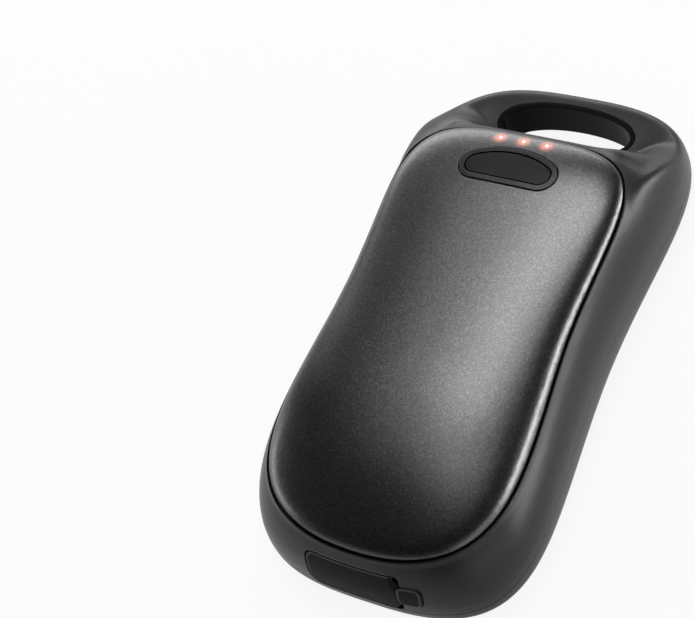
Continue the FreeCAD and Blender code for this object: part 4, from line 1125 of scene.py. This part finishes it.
@dataclass
class Studio:
    """Floor, lights and camera. The camera's place and sensor are in millimetres, its turns in degrees."""

    place: Point = (146.566, -138.147, 300.086)
    azimuth: float = 51.907
    elevation: float = 53.169
    roll: float = -31.622
    lens: float = 100.474
    sensor: float = 36.0
    nearest: float = 10.0 * MM
    paper: Paper = Paper("floor_paper", ((0.9, 0.9, 0.9), (0.93, 0.93, 0.93)), 0.9)
    floor_half: float = 12.0
    floor_drop: float = 0.05 * MM
    sweep: float = 0.2
    sweep_top: float = 0.07
    ceiling: float = 0.042
    target: Point = (0.0, 0.0, 0.01)
    lamps: tuple[Lamp, ...] = (
        Lamp("key", (-0.11, 0.37, 0.725), (0.37, 0.24), 2.5),
        Lamp("top", (-0.05, 0.06, 0.815), (0.37, 0.46), 1.35),
        Lamp("side", (0.72, 0.33, 0.06), (0.9, 0.12), 8.4),
        Lamp("front", (0.62, -0.46, 0.12), (0.6, 0.2), 0.8),
        Lamp("back", (-0.45, 0.64, 0.2), (0.9, 0.24), 4.2),
        Lamp("left", (-0.76, -0.22, 0.11), (0.6, 0.2), 1.8),
    )

    def camera(self) -> None:
        """Puts the camera where the photograph was taken from."""
        turn, lift, lean = (math.radians(angle) for angle in (self.azimuth, self.elevation, self.roll))
        back = Vector((math.sin(turn) * math.cos(lift), -math.cos(turn) * math.cos(lift), math.sin(lift)))
        level = Vector((math.cos(turn), math.sin(turn), 0.0))
        right = level * math.cos(lean) + back.cross(level) * math.sin(lean)
        axes = Matrix((right, back.cross(right), back)).transposed()
        data = bpy.data.cameras.new("camera")
        data.lens = self.lens
        data.sensor_width = self.sensor
        data.sensor_fit = "HORIZONTAL"
        data.clip_start = self.nearest
        camera = bpy.data.objects.new("camera", data)
        camera.matrix_world = Matrix.Translation(Vector(self.place) * MM) @ axes.to_4x4()
        bpy.context.scene.collection.objects.link(camera)
        bpy.context.scene.camera = camera

    def floor(self) -> None:
        """Lays a plain pale floor that keeps the object's shadow."""
        build = bmesh.new()
        bmesh.ops.create_grid(build, x_segments=1, y_segments=1, size=self.floor_half)
        bmesh.ops.translate(build, verts=build.verts, vec=(0.0, 0.0, -self.floor_drop))
        floor = add_piece(build, "floor")
        floor.data.materials.append(self.paper.material())

    def sky(self) -> None:
        """Puts a low pale sweep round the horizon, where the floor ends, below a dark ceiling."""
        canvas = Canvas(bpy.data.worlds.new("studio"))
        view = canvas.node("ShaderNodeTexCoord", out="Generated")
        height = canvas.node("ShaderNodeSeparateXYZ", {}, {0: view}, "Z")
        strength = self.sweep + (self.ceiling - self.sweep) * height.step(0.0, self.sweep_top)
        light = canvas.node("ShaderNodeBackground", {}, {"Color": WHITE, "Strength": strength})
        bpy.context.scene.world = canvas.end(light, Output.WORLD)

    def build(self) -> None:
        """Makes the whole studio."""
        bpy.context.scene.view_settings.view_transform = "Standard"
        self.camera()
        self.floor()
        self.sky()
        for lamp in self.lamps:
            lamp.hang(self.target)


def main() -> None:
    """Builds the classes in order."""
    logging.basicConfig(level=logging.INFO, format="%(name)s %(message)s")
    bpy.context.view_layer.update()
    for part in (Shells(), Front(), Nose(), Inside(), Studio()):
        part.build()


if __name__ == "__main__":
    main()
